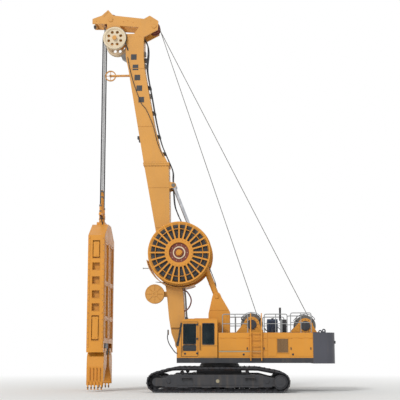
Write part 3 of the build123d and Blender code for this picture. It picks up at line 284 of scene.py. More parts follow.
MATERIALS = {
    "yellow_paint": painted("yellow_paint", YELLOW),
    "mast_paint": painted("mast_paint", MAST_YELLOW, wear=0.45),
    "dark_paint": painted("dark_paint", colour(46, 47, 52), wear=0.3, dust=0.5, roughness=0.5),
    "track_steel": worn_metal("track_steel", colour(62, 62, 66), 0.5, rust=0.3, metallic=0.5),
    "counterweight_paint": painted("counterweight_paint", colour(70, 71, 80), wear=0.3, roughness=0.45),
    "bare_steel": worn_metal("bare_steel", colour(120, 118, 114), 0.4, rust=0.35),
    "rod_chrome": worn_metal("rod_chrome", colour(205, 206, 210), 0.12, rust=0.0, metallic=1.0),
    "pulley_cream": painted("pulley_cream", colour(226, 208, 176), wear=0.6, dust=0.6),
    "hub_red": painted("hub_red", colour(122, 52, 34), wear=0.5, dust=0.4),
    "hose_rubber": rubber("hose_rubber", colour(40, 40, 42)),
    "rope_wire": wire_rope("rope_wire"),
    "cab_glass": glazing("cab_glass"),
    "seat_cloth": woven("seat_cloth", colour(44, 46, 54)),
    "console_plastic": plastic("console_plastic", colour(52, 53, 56)),
    "cooler_paint": painted("cooler_paint", colour(38, 54, 80), wear=0.3),
    "engine_iron": worn_metal("engine_iron", colour(88, 88, 92), 0.55, rust=0.2, metallic=0.4),
    "rail_steel": painted("rail_steel", colour(150, 152, 152), wear=0.35),
}
SEAL = rubber("seal", colour(24, 24, 26))
TOOTH_STEEL = worn_metal("tooth_steel", colour(104, 92, 82), 0.45, rust=0.6)
STRIPE = painted("stripe_grey", colour(168, 158, 130), wear=0.2)
LAMP_LENS = plastic("lamp_lens", colour(214, 214, 206), 0.2)
SHADOW_BLACK = plastic("shadow_black", colour(20, 20, 22), 0.7)
GRILLE_PAINT = painted("grille_paint", colour(140, 104, 60), wear=0.3, dust=0.7)
HOSE_LIGHT = rubber("hose_light", colour(150, 146, 134))
RED_BROWN = painted("red_brown", colour(112, 54, 40), wear=0.4)

for node, thing in frame["nodes"].items():
    for slot in thing.material_slots:
        slot.material = MATERIALS[SLOT_OF_NODE[node]]


# Meshes

OTHER_AXES = {"x": (1, 2), "y": (0, 2), "z": (0, 1)}


def beside(point, y):
    """Point moved along Y."""
    return point + Vector((0, y, 0))


def around(centre, axis, radius, angle, distance=0.0):
    """Point on a circle round an axis, at a distance along it; the angle is in radians."""
    first, second = OTHER_AXES[axis]
    point = Vector(centre)
    point["xyz".index(axis)] += distance
    point[first] += radius * math.cos(angle)
    point[second] += radius * math.sin(angle)
    return point


class Shape:
    """Faces of one piece, gathered in the row frame."""

    def __init__(self):
        self.points = []
        self.faces = []

    def loft(self, rings, loop=False, capped=True):
        """Skin over rings of points that each have as many points."""
        start = len(self.points)
        count = len(rings[0])
        for ring in rings:
            self.points += [Vector(point) for point in ring]
        pairs = range(len(rings)) if loop else range(len(rings) - 1)
        for index in pairs:
            low = start + index * count
            high = start + (index + 1) % len(rings) * count
            for step in range(count):
                after = (step + 1) % count
                self.faces.append((low + step, low + after, high + after, high + step))
        if capped and not loop:
            last = start + (len(rings) - 1) * count
            self.faces.append(tuple(range(start, start + count)))
            self.faces.append(tuple(range(last, last + count)))
        return self

    def prism(self, outline, axis, low, high):
        """Outline in the two other axes, drawn out along one axis."""
        first, second = OTHER_AXES[axis]
        along = "xyz".index(axis)
        rings = []
        for place in sorted((low, high)):
            ring = []
            for a, b in outline:
                point = Vector((0, 0, 0))
                point[first], point[second], point[along] = a, b, place
                ring.append(point)
            rings.append(ring)
        return self.loft(rings)

    def box(self, one, other):
        """Box between two opposite corners."""
        low, high = (Vector([*map(pick, one, other)]) for pick in (min, max))
        outline = [(low.x, low.y), (high.x, low.y), (high.x, high.y), (low.x, high.y)]
        return self.prism(outline, "z", low.z, high.z)

    def plate(self, outline, low_y, high_y):
        """Outline of (X from the slewing axis, Z), drawn out along Y."""
        return self.prism([(x + SLEW_X, z) for x, z in outline], "y", low_y, high_y)

    def lathe(self, centre, axis, profile, sides=48):
        """Closed profile of (distance along the axis, radius), turned round the axis."""
        turns = [2 * math.pi * side / sides for side in range(sides)]
        return self.loft([[around(centre, axis, radius, turn, distance) for distance, radius in profile]
                          for turn in turns], loop=True)

    def disc(self, centre, axis, radius, low, high, sides=32, bore=0.0, edge=0.0):
        """Round plate between two distances along its axis, with a bore and a chamfer if asked."""
        low, high = sorted((low, high))
        profile = [(low, bore), (low, radius - edge)]
        if edge:
            profile += [(low + edge, radius), (high - edge, radius)]
        profile += [(high, radius - edge), (high, bore)]
        if bore:
            return self.lathe(centre, axis, profile, sides)
        turns = [2 * math.pi * side / sides for side in range(sides)]
        return self.loft([[around(centre, axis, size, turn, distance) for turn in turns]
                          for distance, size in profile[1:-1]])

    def tube(self, path, radius, sides=12, loop=False):
        """Round bar or hose along a path; radius is a number or one for each point."""
        path = [Vector(point) for point in path]
        count = len(path)
        radii = radius if isinstance(radius, (list, tuple)) else [radius] * count
        across = None
        rings = []
        for index, point in enumerate(path):
            before = path[index - 1] if index or loop else point
            after = path[(index + 1) % count] if index < count - 1 or loop else point
            along = (after - before).normalized()
            if across is None:
                across = along.orthogonal().normalized()
            across = (across - along * across.dot(along)).normalized()
            other = along.cross(across)
            ring = []
            for side in range(sides):
                angle = 2 * math.pi * side / sides
                ring.append(point + radii[index] * (math.cos(angle) * across + math.sin(angle) * other))
            rings.append(ring)
        return self.loft(rings, loop=loop)

    def bolts(self, centre, axis, ring, count, size, height, turn=0.0):
        """Hexagon heads on a circle round an axis, standing out along it."""
        for number in range(count):
            place = around(centre, axis, ring, turn + 2 * math.pi * number / count)
            self.disc(place, axis, size, 0.0, height, sides=6)
        return self

    def bolt_row(self, start, end, axis, count, size, height):
        """Hexagon heads in a straight row."""
        for number in range(count):
            place = Vector(start).lerp(Vector(end), number / (count - 1))
            self.disc(place, axis, size, 0.0, height, sides=6)
        return self

    def mirror(self):
        """Adds the mirror image on the other side of the machine."""
        shift = len(self.points)
        self.points += [Vector((p.x, -p.y, p.z)) for p in self.points]
        self.faces += [tuple(index + shift for index in reversed(face)) for face in self.faces]
        return self


def piece(name, shape, body, slot, material=None, bevel=0.0, replaces=(), smooth=35):
    """Turns a shape into a piece that rides on a body."""
    mesh = bpy.data.meshes.new(name)
    mesh.from_pydata([tuple(point) for point in shape.points], [], shape.faces)
    work = bmesh.new()
    work.from_mesh(mesh)
    bmesh.ops.recalc_face_normals(work, faces=work.faces)
    work.to_mesh(mesh)
    work.free()
    mesh.polygons.foreach_set("use_smooth", [True] * len(mesh.polygons))
    mesh.set_sharp_from_angle(angle=math.radians(smooth))
    mesh.materials.append(material or MATERIALS[slot])
    thing = bpy.data.objects.new(name, mesh)
    bpy.context.scene.collection.objects.link(thing)
    if bevel:
        rounding = thing.modifiers.new("rounding", "BEVEL")
        rounding.width = bevel
        rounding.segments = 2
        rounding.limit_method = "ANGLE"
        rounding.angle_limit = math.radians(40)
        rounding.harden_normals = True
    if body is not None:
        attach(thing, body)
    if replaces:
        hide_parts(*replaces)
    return thing


def arc(centre, radius, start, end, steps):
    """Points on an arc round the Y axis; angles in degrees from +X."""
    return [around(centre, "y", radius, math.radians(start + (end - start) * step / steps))
            for step in range(steps + 1)]


def smooth_path(points, steps=8):
    """Curve through points, for hoses and bent bars."""
    points = [Vector(point) for point in points]
    ends = [2 * points[0] - points[1], *points, 2 * points[-1] - points[-2]]
    path = []
    for index in range(len(points) - 1):
        a, b, c, d = ends[index:index + 4]
        for step in range(steps):
            t = step / steps
            path.append(0.5 * ((2 * b) + (c - a) * t + (2 * a - 5 * b + 4 * c - d) * t * t
                               + (3 * b - a - 3 * c + d) * t ** 3))
    path.append(points[-1])
    return path


def rounded_bar(points, radius, steps=5):
    """Path with straight runs and each corner turned by an arc."""
    points = [Vector(point) for point in points]
    path = [points[0]]
    for before, corner, after in zip(points, points[1:], points[2:]):
        into = (corner - before).normalized()
        out = (after - corner).normalized()
        reach = min(radius, 0.45 * (corner - before).length, 0.45 * (after - corner).length)
        first, last = corner - into * reach, corner + out * reach
        for step in range(steps + 1):
            t = step / steps
            path.append((1 - t) ** 2 * first + 2 * t * (1 - t) * corner + t ** 2 * last)
    path.append(points[-1])
    return path


# Tracks

TRACK_LOW, TRACK_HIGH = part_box("track_left")
TRACK_LENGTH = TRACK_HIGH.x - TRACK_LOW.x
TRACK_HEIGHT = TRACK_HIGH.z
TRACK_Y = (TRACK_LOW.y + TRACK_HIGH.y) / 2
SHOE_HALF = (TRACK_HIGH.y - TRACK_LOW.y) / 2
TRACK_END_RADIUS = 0.43
TRACK_TOP_RADIUS = 0.20
TRACK_TOP_X = (-1.90, 1.60)
LUG_HEIGHT = 0.028
SHOE_THICKNESS = 0.045
SHOE_PITCH = 0.228
LINK_HEIGHT = 0.075
LINK_HALF = 0.115
END_X = TRACK_LENGTH / 2 - TRACK_END_RADIUS
FRAME_FACE_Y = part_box("track_frames")[0].y


def belt(circles, pitch):
    """Places and directions at an even pitch on a belt round circles, counterclockwise."""
    path = []
    normals = []
    for (a, ra), (b, rb) in zip(circles, circles[1:] + circles[:1]):
        line = b - a
        along = line.normalized()
        across = Vector((along.y, -along.x))
        sine = (ra - rb) / line.length
        normals.append(sine * along + math.sqrt(1 - sine * sine) * across)
    for index, (centre, radius) in enumerate(circles):
        before, after = normals[index - 1], normals[index]
        start = math.atan2(before.y, before.x)
        turn = (math.atan2(after.y, after.x) - start) % (2 * math.pi)
        for step in range(25):
            angle = start + turn * step / 24
            path.append(centre + radius * Vector((math.cos(angle), math.sin(angle))))
    lengths = [0.0]
    for first, second in zip(path, path[1:] + path[:1]):
        lengths.append(lengths[-1] + (second - first).length)
    total = lengths[-1]
    places = []
    number = round(total / pitch)
    index = 0
    for shoe in range(number):
        distance = total * shoe / number
        while lengths[index + 1] < distance:
            index += 1
        first, second = path[index], path[(index + 1) % len(path)]
        share = (distance - lengths[index]) / max(1e-9, lengths[index + 1] - lengths[index])
        places.append(first.lerp(second, share))
    return places


def track_places():
    """Corners between shoes, on the outer face of the shoe plates."""
    top_z = TRACK_HEIGHT - TRACK_TOP_RADIUS
    circles = [
        (Vector((-END_X, TRACK_END_RADIUS)), TRACK_END_RADIUS),
        (Vector((END_X, TRACK_END_RADIUS)), TRACK_END_RADIUS),
        (Vector((TRACK_TOP_X[1], top_z)), TRACK_TOP_RADIUS),
        (Vector((TRACK_TOP_X[0], top_z)), TRACK_TOP_RADIUS),
    ]
    return belt([(centre, radius - LUG_HEIGHT) for centre, radius in circles], SHOE_PITCH)


def track(name, side, node):
    """Shoes with their lugs, links and pins, in place of the plain loop."""
    places = track_places()
    middle_y = side * abs(TRACK_Y)
    shoe = [(0.03, 0), (0.28, 0), (0.38, 1), (0.60, 1), (0.70, 0), (0.97, 0)]
    shoes = Shape()
    links = Shape()
    for first, second in zip(places, places[1:] + places[:1]):
        along = second - first
        out = Vector((along.y, -along.x)).normalized()

        def point(share, height):
            place = first + share * along + height * out
            return (place.x + SLEW_X, place.y)

        outline = [point(share, LUG_HEIGHT * height) for share, height in shoe]
        outline += [point(0.97, -SHOE_THICKNESS), point(0.03, -SHOE_THICKNESS)]
        shoes.prism(outline, "y", middle_y - SHOE_HALF, middle_y + SHOE_HALF)
        for share in (0.12, 0.84):
            for offset in (-0.28, -0.20, 0.20, 0.28):
                place = point(share, 0)
                half = 0.018
                shoes.box(
                    (place[0] - half, middle_y + offset - half, place[1] - half),
                    (place[0] + half, middle_y + offset + half, place[1] + half),
                )
        middle = -SHOE_THICKNESS - LINK_HEIGHT / 2
        half = LINK_HEIGHT / 2
        link = [point(-0.08, middle - 0.6 * half), point(0.05, middle - half), point(0.95, middle - half),
                point(1.08, middle - 0.6 * half), point(1.08, middle + half), point(-0.08, middle + half)]
        for offset in (-LINK_HALF + 0.02, LINK_HALF - 0.02):
            links.prism(link, "y", middle_y + offset - 0.02, middle_y + offset + 0.02)
        pin = point(0.0, middle)
        links.disc((pin[0], middle_y, pin[1]), "y", 0.026, -LINK_HALF - 0.01, LINK_HALF + 0.01, sides=12)
    piece(name, shoes, "undercarriage", "track_steel", replaces=(node,))
    piece(name + "_links", links, "undercarriage", "track_steel")


track("track_shoes_left", LEFT, "track_left")
track("track_shoes_right", RIGHT, "track_right")


def side_frame_details():
    """Covers, steps, guards and bolts on the outer faces of the side frames."""
    y = FRAME_FACE_Y
    trim = Shape()
    bolts = Shape()
    trim.plate([(-1.75, 0.30), (1.75, 0.30), (1.55, 0.62), (-1.55, 0.62)], y - 0.014, y + 0.002)
    for x in (-1.3, 1.3):
        trim.box(at(x - 0.22, y - 0.16, 0.60), at(x + 0.22, y, 0.625))
        for end in (x - 0.20, x + 0.18):
            trim.box(at(end, y - 0.15, 0.50), at(end + 0.02, y, 0.60))
    for x in (-2.05, 2.0):
        cover = at(x, y, 0.47)
        trim.disc(cover, "y", 0.10, -0.03, 0.0, sides=24, edge=0.008)
        bolts.bolts(beside(cover, -0.03), "y", 0.075, 6, 0.011, -0.012)
    for number in range(11):
        bolts.disc(at(-1.65 + 0.33 * number, y - 0.014, 0.345), "y", 0.016, -0.012, 0.0, sides=6)
    for x in (-1.45, -0.48, 0.48, 1.45):
        trim.box(at(x - 0.20, y - 0.012, 0.19), at(x + 0.20, y + 0.02, 0.27))
    emblem = Shape().disc(at(-0.02, y - 0.014, 0.47), "y", 0.075, -0.016, 0.0, sides=32, edge=0.006)
    drive = Shape()
    cover_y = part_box("sprockets")[0].y
    hub = at(END_X, cover_y, TRACK_END_RADIUS)
    drive.disc(hub, "y", 0.24, -0.022, 0.002, sides=48, edge=0.012)
    drive.disc(hub, "y", 0.11, -0.034, 0.002, sides=32, edge=0.008)
    drive.bolts(hub, "y", 0.268, 20, 0.013, -0.014)
    drive.bolts(beside(hub, -0.022), "y", 0.20, 12, 0.012, -0.012)
    for shape in (trim, bolts, emblem, drive):
        shape.mirror()
    piece("side_frame_trim", trim, "undercarriage", "dark_paint", bevel=0.006)
    piece("side_frame_bolts", bolts, "undercarriage", "track_steel")
    piece("side_frame_discs", emblem, "undercarriage", "bare_steel", material=STRIPE, bevel=0.003)
    piece("final_drive_covers", drive, "undercarriage", "dark_paint")


side_frame_details()


# Upper works

DECK_LOW, DECK_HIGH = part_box("deck_frame")
HOUSING_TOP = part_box("engine_housing")[1].z
HOUSING_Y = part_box("side_housings")[0].y
PANEL = 0.012


def housing_panels():
    """Doors and covers of the side housings, with gaps between them."""
    y = HOUSING_Y
    # front, rear, low, high
    panels = [
        (0.015, 1.295, 1.712, 2.215), (1.31, 2.035, 1.712, 2.215), (2.065, 2.42, 1.475, 2.215),
        (2.935, 3.925, 1.475, 2.215), (2.065, 3.925, 2.235, 2.445), (0.015, 2.035, 2.235, 2.445),
        (0.015, 2.035, 1.475, 1.64),
    ]
    doors = Shape()
    for front, rear, low, high in panels:
        doors.box(at(front, y - PANEL, low), at(rear, y + 0.004, high))
    piece("housing_doors", doors.mirror(), "upper", "yellow_paint", bevel=0.008)
    stripe = Shape()
    stripe.box(at(0.02, y - PANEL * 0.6, 1.652), at(1.80, y + 0.004, 1.700))
    piece("grey_stripes", stripe.mirror(), "upper", "yellow_paint", material=STRIPE)
    fittings = Shape()
    hinges = Shape()
    for x, z in ((1.05, 1.555), (3.10, 1.555)):
        fittings.disc(at(x, y - PANEL, z), "y", 0.045, -0.014, 0.004, sides=24, edge=0.006)
        fittings.box(at(x - 0.012, y - PANEL - 0.028, z - 0.03), at(x + 0.012, y - PANEL, z + 0.03))
    for x, z in ((1.2, 1.80), (1.9, 1.80), (3.02, 1.80), (3.84, 1.80)):
        fittings.box(at(x - 0.018, y - PANEL - 0.03, z - 0.05), at(x + 0.018, y - PANEL, z + 0.05))
    for x in (0.16, 0.66, 1.22, 1.38, 1.92, 3.0, 3.43, 3.86):
        hinges.disc(at(x, y - PANEL - 0.004, 2.225), "x", 0.014, -0.05, 0.05, sides=12)
    piece("housing_latches", fittings.mirror(), "upper", "dark_paint", bevel=0.003)
    piece("housing_hinges", hinges.mirror(), "upper", "yellow_paint")


def engine_grille():
    """Louvred air grille in each side of the engine housing, with a black sheet behind the bars as painted shade.
    """
    y = HOUSING_Y
    low, high = at(2.45, 0, 1.63), at(2.905, 0, 2.20)
    rim = Shape()
    edge = 0.03
    outer_x, outer_z = (low.x - edge, high.x + edge), (low.z - edge, high.z + edge)
    for x0, x1, z0, z1 in ((*outer_x, outer_z[0], low.z), (*outer_x, high.z, outer_z[1]),
                           (outer_x[0], low.x, low.z, high.z), (high.x, outer_x[1], low.z, high.z)):
        rim.box((x0, y - 0.02, z0), (x1, y + 0.004, z1))
    # black sheet behind the bars: painted shade of the housing's inside
    back = Shape().box((low.x, y - 0.003, low.z), (high.x, y + 0.002, high.z))
    bars = Shape()
    rows = 14
    for row in range(rows):
        z = low.z + (row + 0.5) * (high.z - low.z) / rows
        bars.prism(
            [(y - 0.018, z - 0.012), (y - 0.014, z - 0.016), (y - 0.004, z + 0.012), (y - 0.008, z + 0.016)],
            "x", low.x, high.x,
        )
    for column in range(1, 4):
        x = low.x + column * (high.x - low.x) / 4
        bars.box((x - 0.006, y - 0.019, low.z), (x + 0.006, y - 0.004, high.z))
    piece("grille_rims", rim.mirror(), "upper", "yellow_paint", bevel=0.004)
    piece("grille_painted_shade", back.mirror(), "upper", "dark_paint", material=SHADOW_BLACK)
    piece("grille_bars", bars.mirror(), "upper", "mast_paint", material=GRILLE_PAINT)


housing_panels()
engine_grille()


def walkway():
    """Chequered plates on top of the housings, and bolts along the deck."""
    plates = Shape()
    top = HOUSING_TOP
    # front, rear, inner, outer
    for front, rear, inner, outer in ((0.05, 2.0, 0.76, 1.51), (2.1, 3.2, 0.10, 1.51),
                                      (3.22, 3.9, 0.62, 1.51)):
        plates.box(at(front, -outer, top), at(rear, -inner, top + 0.006))
    rivets = Shape()
    pitch = 0.065
    for front, rear, inner, outer in ((0.10, 1.95, 0.80, 1.48), (2.15, 3.15, 0.62, 1.48)):
        rows = int((rear - front) / pitch)
        columns = int((outer - inner) / pitch)
        for row in range(rows):
            for column in range(columns):
                x = front + (row + 0.5) * pitch + SLEW_X
                y = -(inner + (column + 0.5) * pitch)
                turn = 1 if (row + column) % 2 else -1
                corners = [(-0.022, -0.006 * turn), (0.0, 0.006), (0.022, 0.006 * turn), (0.0, -0.006)]
                outline = [(x + (a if turn > 0 else b), y + (b if turn > 0 else a)) for a, b in corners]
                rivets.prism(outline, "z", top + 0.005, top + 0.009)
    piece("walkway_plates", plates.mirror(), "upper", "dark_paint")
    piece("walkway_tread", rivets.mirror(), "upper", "dark_paint")
    deck = Shape()
    for number in range(24):
        x = DECK_LOW.x + 0.12 + number * (DECK_HIGH.x - DECK_LOW.x - 0.24) / 23
        deck.disc((x, DECK_LOW.y, 1.30), "y", 0.014, -0.010, 0.0, sides=6)
    piece("deck_bolts", deck.mirror(), "upper", "dark_paint")


walkway()


def counterweight_details():
    """Bolted cover and tail lamps on the rear face."""
    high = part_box("counterweight")[1]
    trim = Shape()
    lamps = Shape()
    lens = Shape()
    x = high.x
    trim.box((x - 0.004, -0.9, 1.42), (x + 0.006, 0.9, 2.16))
    for y in (-1.15, 1.15):
        lamps.box((x - 0.05, y - 0.11, 2.0), (x + 0.03, y + 0.11, 2.12))
        lens.box((x + 0.028, y - 0.095, 2.012), (x + 0.036, y + 0.095, 2.108))
    for y in (-0.62, 0.62):
        for z in (1.5, 2.08):
            trim.disc((x + 0.004, y, z), "x", 0.045, 0.0, 0.012, sides=6)
    piece("tail_cover", trim, "upper", "counterweight_paint", bevel=0.006)
    piece("tail_lamp_boxes", lamps, "upper", "dark_paint", bevel=0.004)
    piece("tail_lamp_lenses", lens, "upper", "cab_glass", material=LAMP_LENS, bevel=0.003)


counterweight_details()


# Cab

CAB_LOW, CAB_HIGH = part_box("cab_shell")
CAB_FRONT = [(-1.75, 1.41), (-1.75, 1.86), (-1.56, 3.02)]
DOOR_WINDOW = [(-1.482, 1.97), (-0.938, 1.97), (-0.938, 2.832), (-1.482, 2.832)]
# dark glossy pane for the lower door window: painted shade of the cab inside, seen through the glass
PAINTED_SHADE_PANE = plastic("painted_shade_pane", colour(30, 36, 40), 0.14)


def cab_front_x(z, inset=0.0):
    """Front edge of the cab at a height, from the slewing axis."""
    low, high = CAB_FRONT[1], CAB_FRONT[2]
    share = max(0.0, (z - low[1]) / (high[1] - low[1]))
    return low[0] + share * (high[0] - low[0]) + inset


def ring_seal(shape, outline, y, width, depth):
    """Flat rubber frame of some width round an outline in the side wall."""
    middle = Vector((sum(x for x, z in outline) / len(outline), sum(z for x, z in outline) / len(outline)))
    rings = []
    for x, z in outline:
        inward = (middle - Vector((x, z))).normalized() * width
        rings.append([
            at(x - 0.3 * inward.x, y, z - 0.3 * inward.y), at(x + inward.x, y, z + inward.y),
            at(x + inward.x, y + depth, z + inward.y), at(x - 0.3 * inward.x, y + depth, z - 0.3 * inward.y),
        ])
    return shape.loft(rings, loop=True)


def rounded_outline(corners, radius, steps=4):
    """Corner points of a window with each corner turned by an arc."""
    points = [Vector(corner) for corner in corners]
    outline = []
    for index, corner in enumerate(points):
        before, after = points[index - 1], points[(index + 1) % len(points)]
        into, out = (corner - before), (after - corner)
        reach = min(radius, 0.45 * into.length, 0.45 * out.length)
        first, last = corner - into.normalized() * reach, corner + out.normalized() * reach
        for step in range(steps + 1):
            t = step / steps
            outline.append((1 - t) ** 2 * first + 2 * t * (1 - t) * corner + t ** 2 * last)
    return [(point.x, point.y) for point in outline]


def side_outline(front, rear, low, high, radius=0.06):
    """Window with round corners in the side wall."""
    return rounded_outline([(front, low), (rear, low), (rear, high), (front, high)], radius)


def grip(x, y, start, end, reach, radius):
    """Path of an upright handle that stands out from the side wall."""
    corners = ((y, start), (y - reach, start), (y - reach, end), (y, end))
    return rounded_bar([at(x, place, z) for place, z in corners], radius)


def cab_details():
    """Seals, door fittings, windscreen frame, wiper, mirror arm, roof and lamps."""
    y = CAB_LOW.y
    inner_y = CAB_HIGH.y
    seals = Shape()
    ring_seal(seals, side_outline(-0.68, -0.17, 1.96, 2.85), y + 0.004, 0.035, -0.014)
    ring_seal(seals, side_outline(-1.56, -0.17, 1.96, 2.85), inner_y - 0.004, 0.035, 0.014)
    piece("side_window_seals", seals, "upper", "console_plastic", material=SEAL)
    lower = side_outline(-1.482, -0.938, 1.70, 1.945, 0.05)
    door_seal = ring_seal(Shape(), rounded_outline(DOOR_WINDOW, 0.06), y + 0.004, 0.035, -0.014)
    ring_seal(door_seal, lower, y + 0.004, 0.030, -0.014)
    piece("door_window_seal", door_seal, "cab_door", "console_plastic", material=SEAL)
    # lower door window as an opaque dark pane: painted shade in place of the view into the cab
    pane = Shape().plate(lower, y - 0.005, y + 0.004)
    piece("door_lower_pane", pane, "cab_door", "cab_glass", material=PAINTED_SHADE_PANE)
    gap = Shape()
    gap.box(at(-0.868, y - 0.004, 1.478), at(-0.852, y + 0.02, 2.902))
    gap.tube([at(-1.556, y - 0.003, 1.478), at(-1.556, y - 0.003, 2.902)], 0.009, sides=6)
    for z in (1.474, 2.906):
        gap.tube([at(-1.556, y - 0.003, z), at(-0.86, y - 0.003, z)], 0.008, sides=6)
    piece("door_gap_seal", gap, "upper", "console_plastic", material=SEAL)
    fittings = Shape()
    for z in (1.60, 2.2, 2.80):
        fittings.disc(at(-0.86, y - 0.015, z), "z", 0.016, -0.06, 0.06, sides=16)
        fittings.box(at(-0.932, y - 0.012, z - 0.035), at(-0.86, y, z + 0.035))
    fittings.disc(at(-1.40, y, 1.59), "y", 0.045, -0.012, 0.0, sides=24, edge=0.004)
    fittings.tube(grip(-1.515, y, 1.88, 1.66, 0.045, 0.02), 0.009, sides=8)
    piece("door_fittings", fittings, "cab_door", "dark_paint")
    rail = Shape().tube(grip(-0.77, y, 1.75, 2.75, 0.06, 0.04), 0.014)
    piece("cab_grab_rail", rail, "upper", "dark_paint")
    # dark post along the raked front and frame of the windscreen
    post = Shape()
    for side_y, out in ((y, -0.010), (inner_y, 0.010)):
        rings = []
        for z in (1.90, 2.14, 2.38, 2.62, 2.86):
            x = cab_front_x(z)
            low_y, high_y = sorted((side_y + out, side_y - 5 * out))
            rings.append([at(x - 0.012, low_y, z), at(x + 0.075, low_y, z), at(x + 0.075, high_y, z),
                          at(x - 0.012, high_y, z)])
        post.loft(rings)
    for z in (1.88, 2.87):
        x = cab_front_x(z)
        post.box(at(x - 0.010, y + 0.01, z - 0.025), at(x + 0.012, inner_y - 0.01, z + 0.025))
    piece("windscreen_frame", post, "upper", "console_plastic", material=SEAL, bevel=0.004)
    wiper = Shape()
    middle = (y + inner_y) / 2
    blade = [at(cab_front_x(z) - 0.028, middle - 0.16 + 0.1 * (z - 2.0), z) for z in (2.05, 2.25, 2.45, 2.65)]
    wiper.tube(blade, 0.010, sides=6)
    arm = [at(cab_front_x(1.84) - 0.02, middle, 1.82), at(cab_front_x(2.1) - 0.045, middle - 0.10, 2.1),
           blade[2]]
    wiper.tube(arm, 0.008, sides=6)
    wiper.disc(at(cab_front_x(1.82), middle, 1.82), "x", 0.03, -0.035, 0.0, sides=16)
    piece("wiper", wiper, "upper", "dark_paint")
    bends = ((-1.72, 0.010, 1.60), (-1.80, 0.06, 1.63), (-1.92, 0.10, 1.78), (-2.07, 0.12, 2.02),
             (-2.13, 0.12, 2.26), (-2.10, 0.12, 2.46))
    mirror_arm = smooth_path([at(x, y - out, z) for x, out, z in bends], 6)
    piece("mirror_arm", Shape().tube(mirror_arm, 0.020, sides=10), "upper", "dark_paint")
    mirror = Shape().box(at(-2.13, y - 0.21, 2.36), at(-2.08, y - 0.03, 2.58))
    piece("mirror_case", mirror, "upper", "console_plastic", bevel=0.015)
    glass = Shape().box(at(-2.082, y - 0.195, 2.375), at(-2.076, y - 0.045, 2.565))
    piece("mirror_glass", glass, "upper", "rod_chrome", bevel=0.003)
    roof = Shape()
    top = CAB_HIGH.z
    roof.box(at(-1.29, y + 0.04, top - 0.004), at(-0.08, inner_y - 0.04, top + 0.03))
    roof.box(at(-1.02, y + 0.20, top + 0.028), at(-0.38, inner_y - 0.20, top + 0.05))
    piece("cab_roof_panel", roof, "upper", "yellow_paint", bevel=0.012)
    lamps = Shape()
    lens = Shape()
    for offset in (0.16, 0.77):
        place = at(-1.37, y + offset, top + 0.055)
        lamps.box(place + Vector((-0.04, -0.09, -0.06)), place + Vector((0.05, 0.09, 0.045)))
        lens.box(place + Vector((-0.052, -0.078, -0.034)), place + Vector((-0.038, 0.078, 0.034)))
    piece("cab_lamps", lamps, "upper", "dark_paint", bevel=0.006)
    piece("cab_lamp_lenses", lens, "upper", "cab_glass", material=LAMP_LENS, bevel=0.004)
    seam = Shape()
    seam.box(at(-0.70, y - 0.003, 1.900), at(-0.045, y + 0.004, 1.914))
    seam.box(at(-0.84, y - 0.003, 1.440), at(-0.045, y + 0.004, 1.452))
    piece("cab_seams", seam, "upper", "console_plastic", material=SEAL)


def cab_inside():
    """Padded seat with armrests, and the console with its screen."""
    low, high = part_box("operator_seat")
    middle = (low.y + high.y) / 2
    x = low.x + 0.26
    base = Shape()
    base.prism([(x - 0.16, low.z), (x + 0.16, low.z), (x + 0.12, low.z + 0.32), (x - 0.12, low.z + 0.32)],
               "y", middle - 0.15, middle + 0.15)
    for side in SIDES:
        y = middle + side * 0.25
        rest = [(x + 0.16, y, low.z + 0.36), (x + 0.16, y, low.z + 0.60), (x - 0.16, y, low.z + 0.60)]
        base.tube(rounded_bar(rest, 0.04), 0.022, sides=8)
        base.disc((x - 0.17, y, low.z + 0.62), "z", 0.014, 0.0, 0.11, sides=10)
        base.disc((x - 0.17, y, low.z + 0.72), "z", 0.026, 0.0, 0.06, sides=12, edge=0.01)
    piece("seat_base", base, "upper", "console_plastic", bevel=0.01)
    cushion = Shape()
    cushion.box((low.x, middle - 0.24, low.z + 0.32), (high.x - 0.02, middle + 0.24, low.z + 0.46))
    cushion.prism([(high.x - 0.13, low.z + 0.44), (high.x - 0.01, low.z + 0.46), (high.x, high.z - 0.22),
                   (high.x - 0.09, high.z - 0.22)], "y", middle - 0.22, middle + 0.22)
    cushion.box((high.x - 0.09, middle - 0.13, high.z - 0.20), (high.x, middle + 0.13, high.z))
    seat = piece("seat_cushions", cushion, "upper", "seat_cloth", bevel=0.035, replaces=("operator_seat",))
    low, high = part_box("cab_console")
    console = Shape()
    top = [(low.x + 0.01, high.z), (high.x, high.z - 0.08), (high.x, high.z - 0.06),
           (low.x + 0.01, high.z + 0.02)]
    console.prism(top, "y", low.y + 0.02, high.y - 0.02)
    console.box((low.x + 0.03, low.y + 0.05, high.z), (low.x + 0.06, low.y + 0.31, high.z + 0.18))
    piece("console_screen", console, "upper", "console_plastic", bevel=0.006)


cab_details()
cab_inside()


# Winches, cooler, exhaust and rails on top

WINCH_HALF = 0.50
FLANGE = 0.04
WINCH_SUPPORT = 0.56
HOOD_HALF = 0.552
HOOD_START, HOOD_END = 35, 150


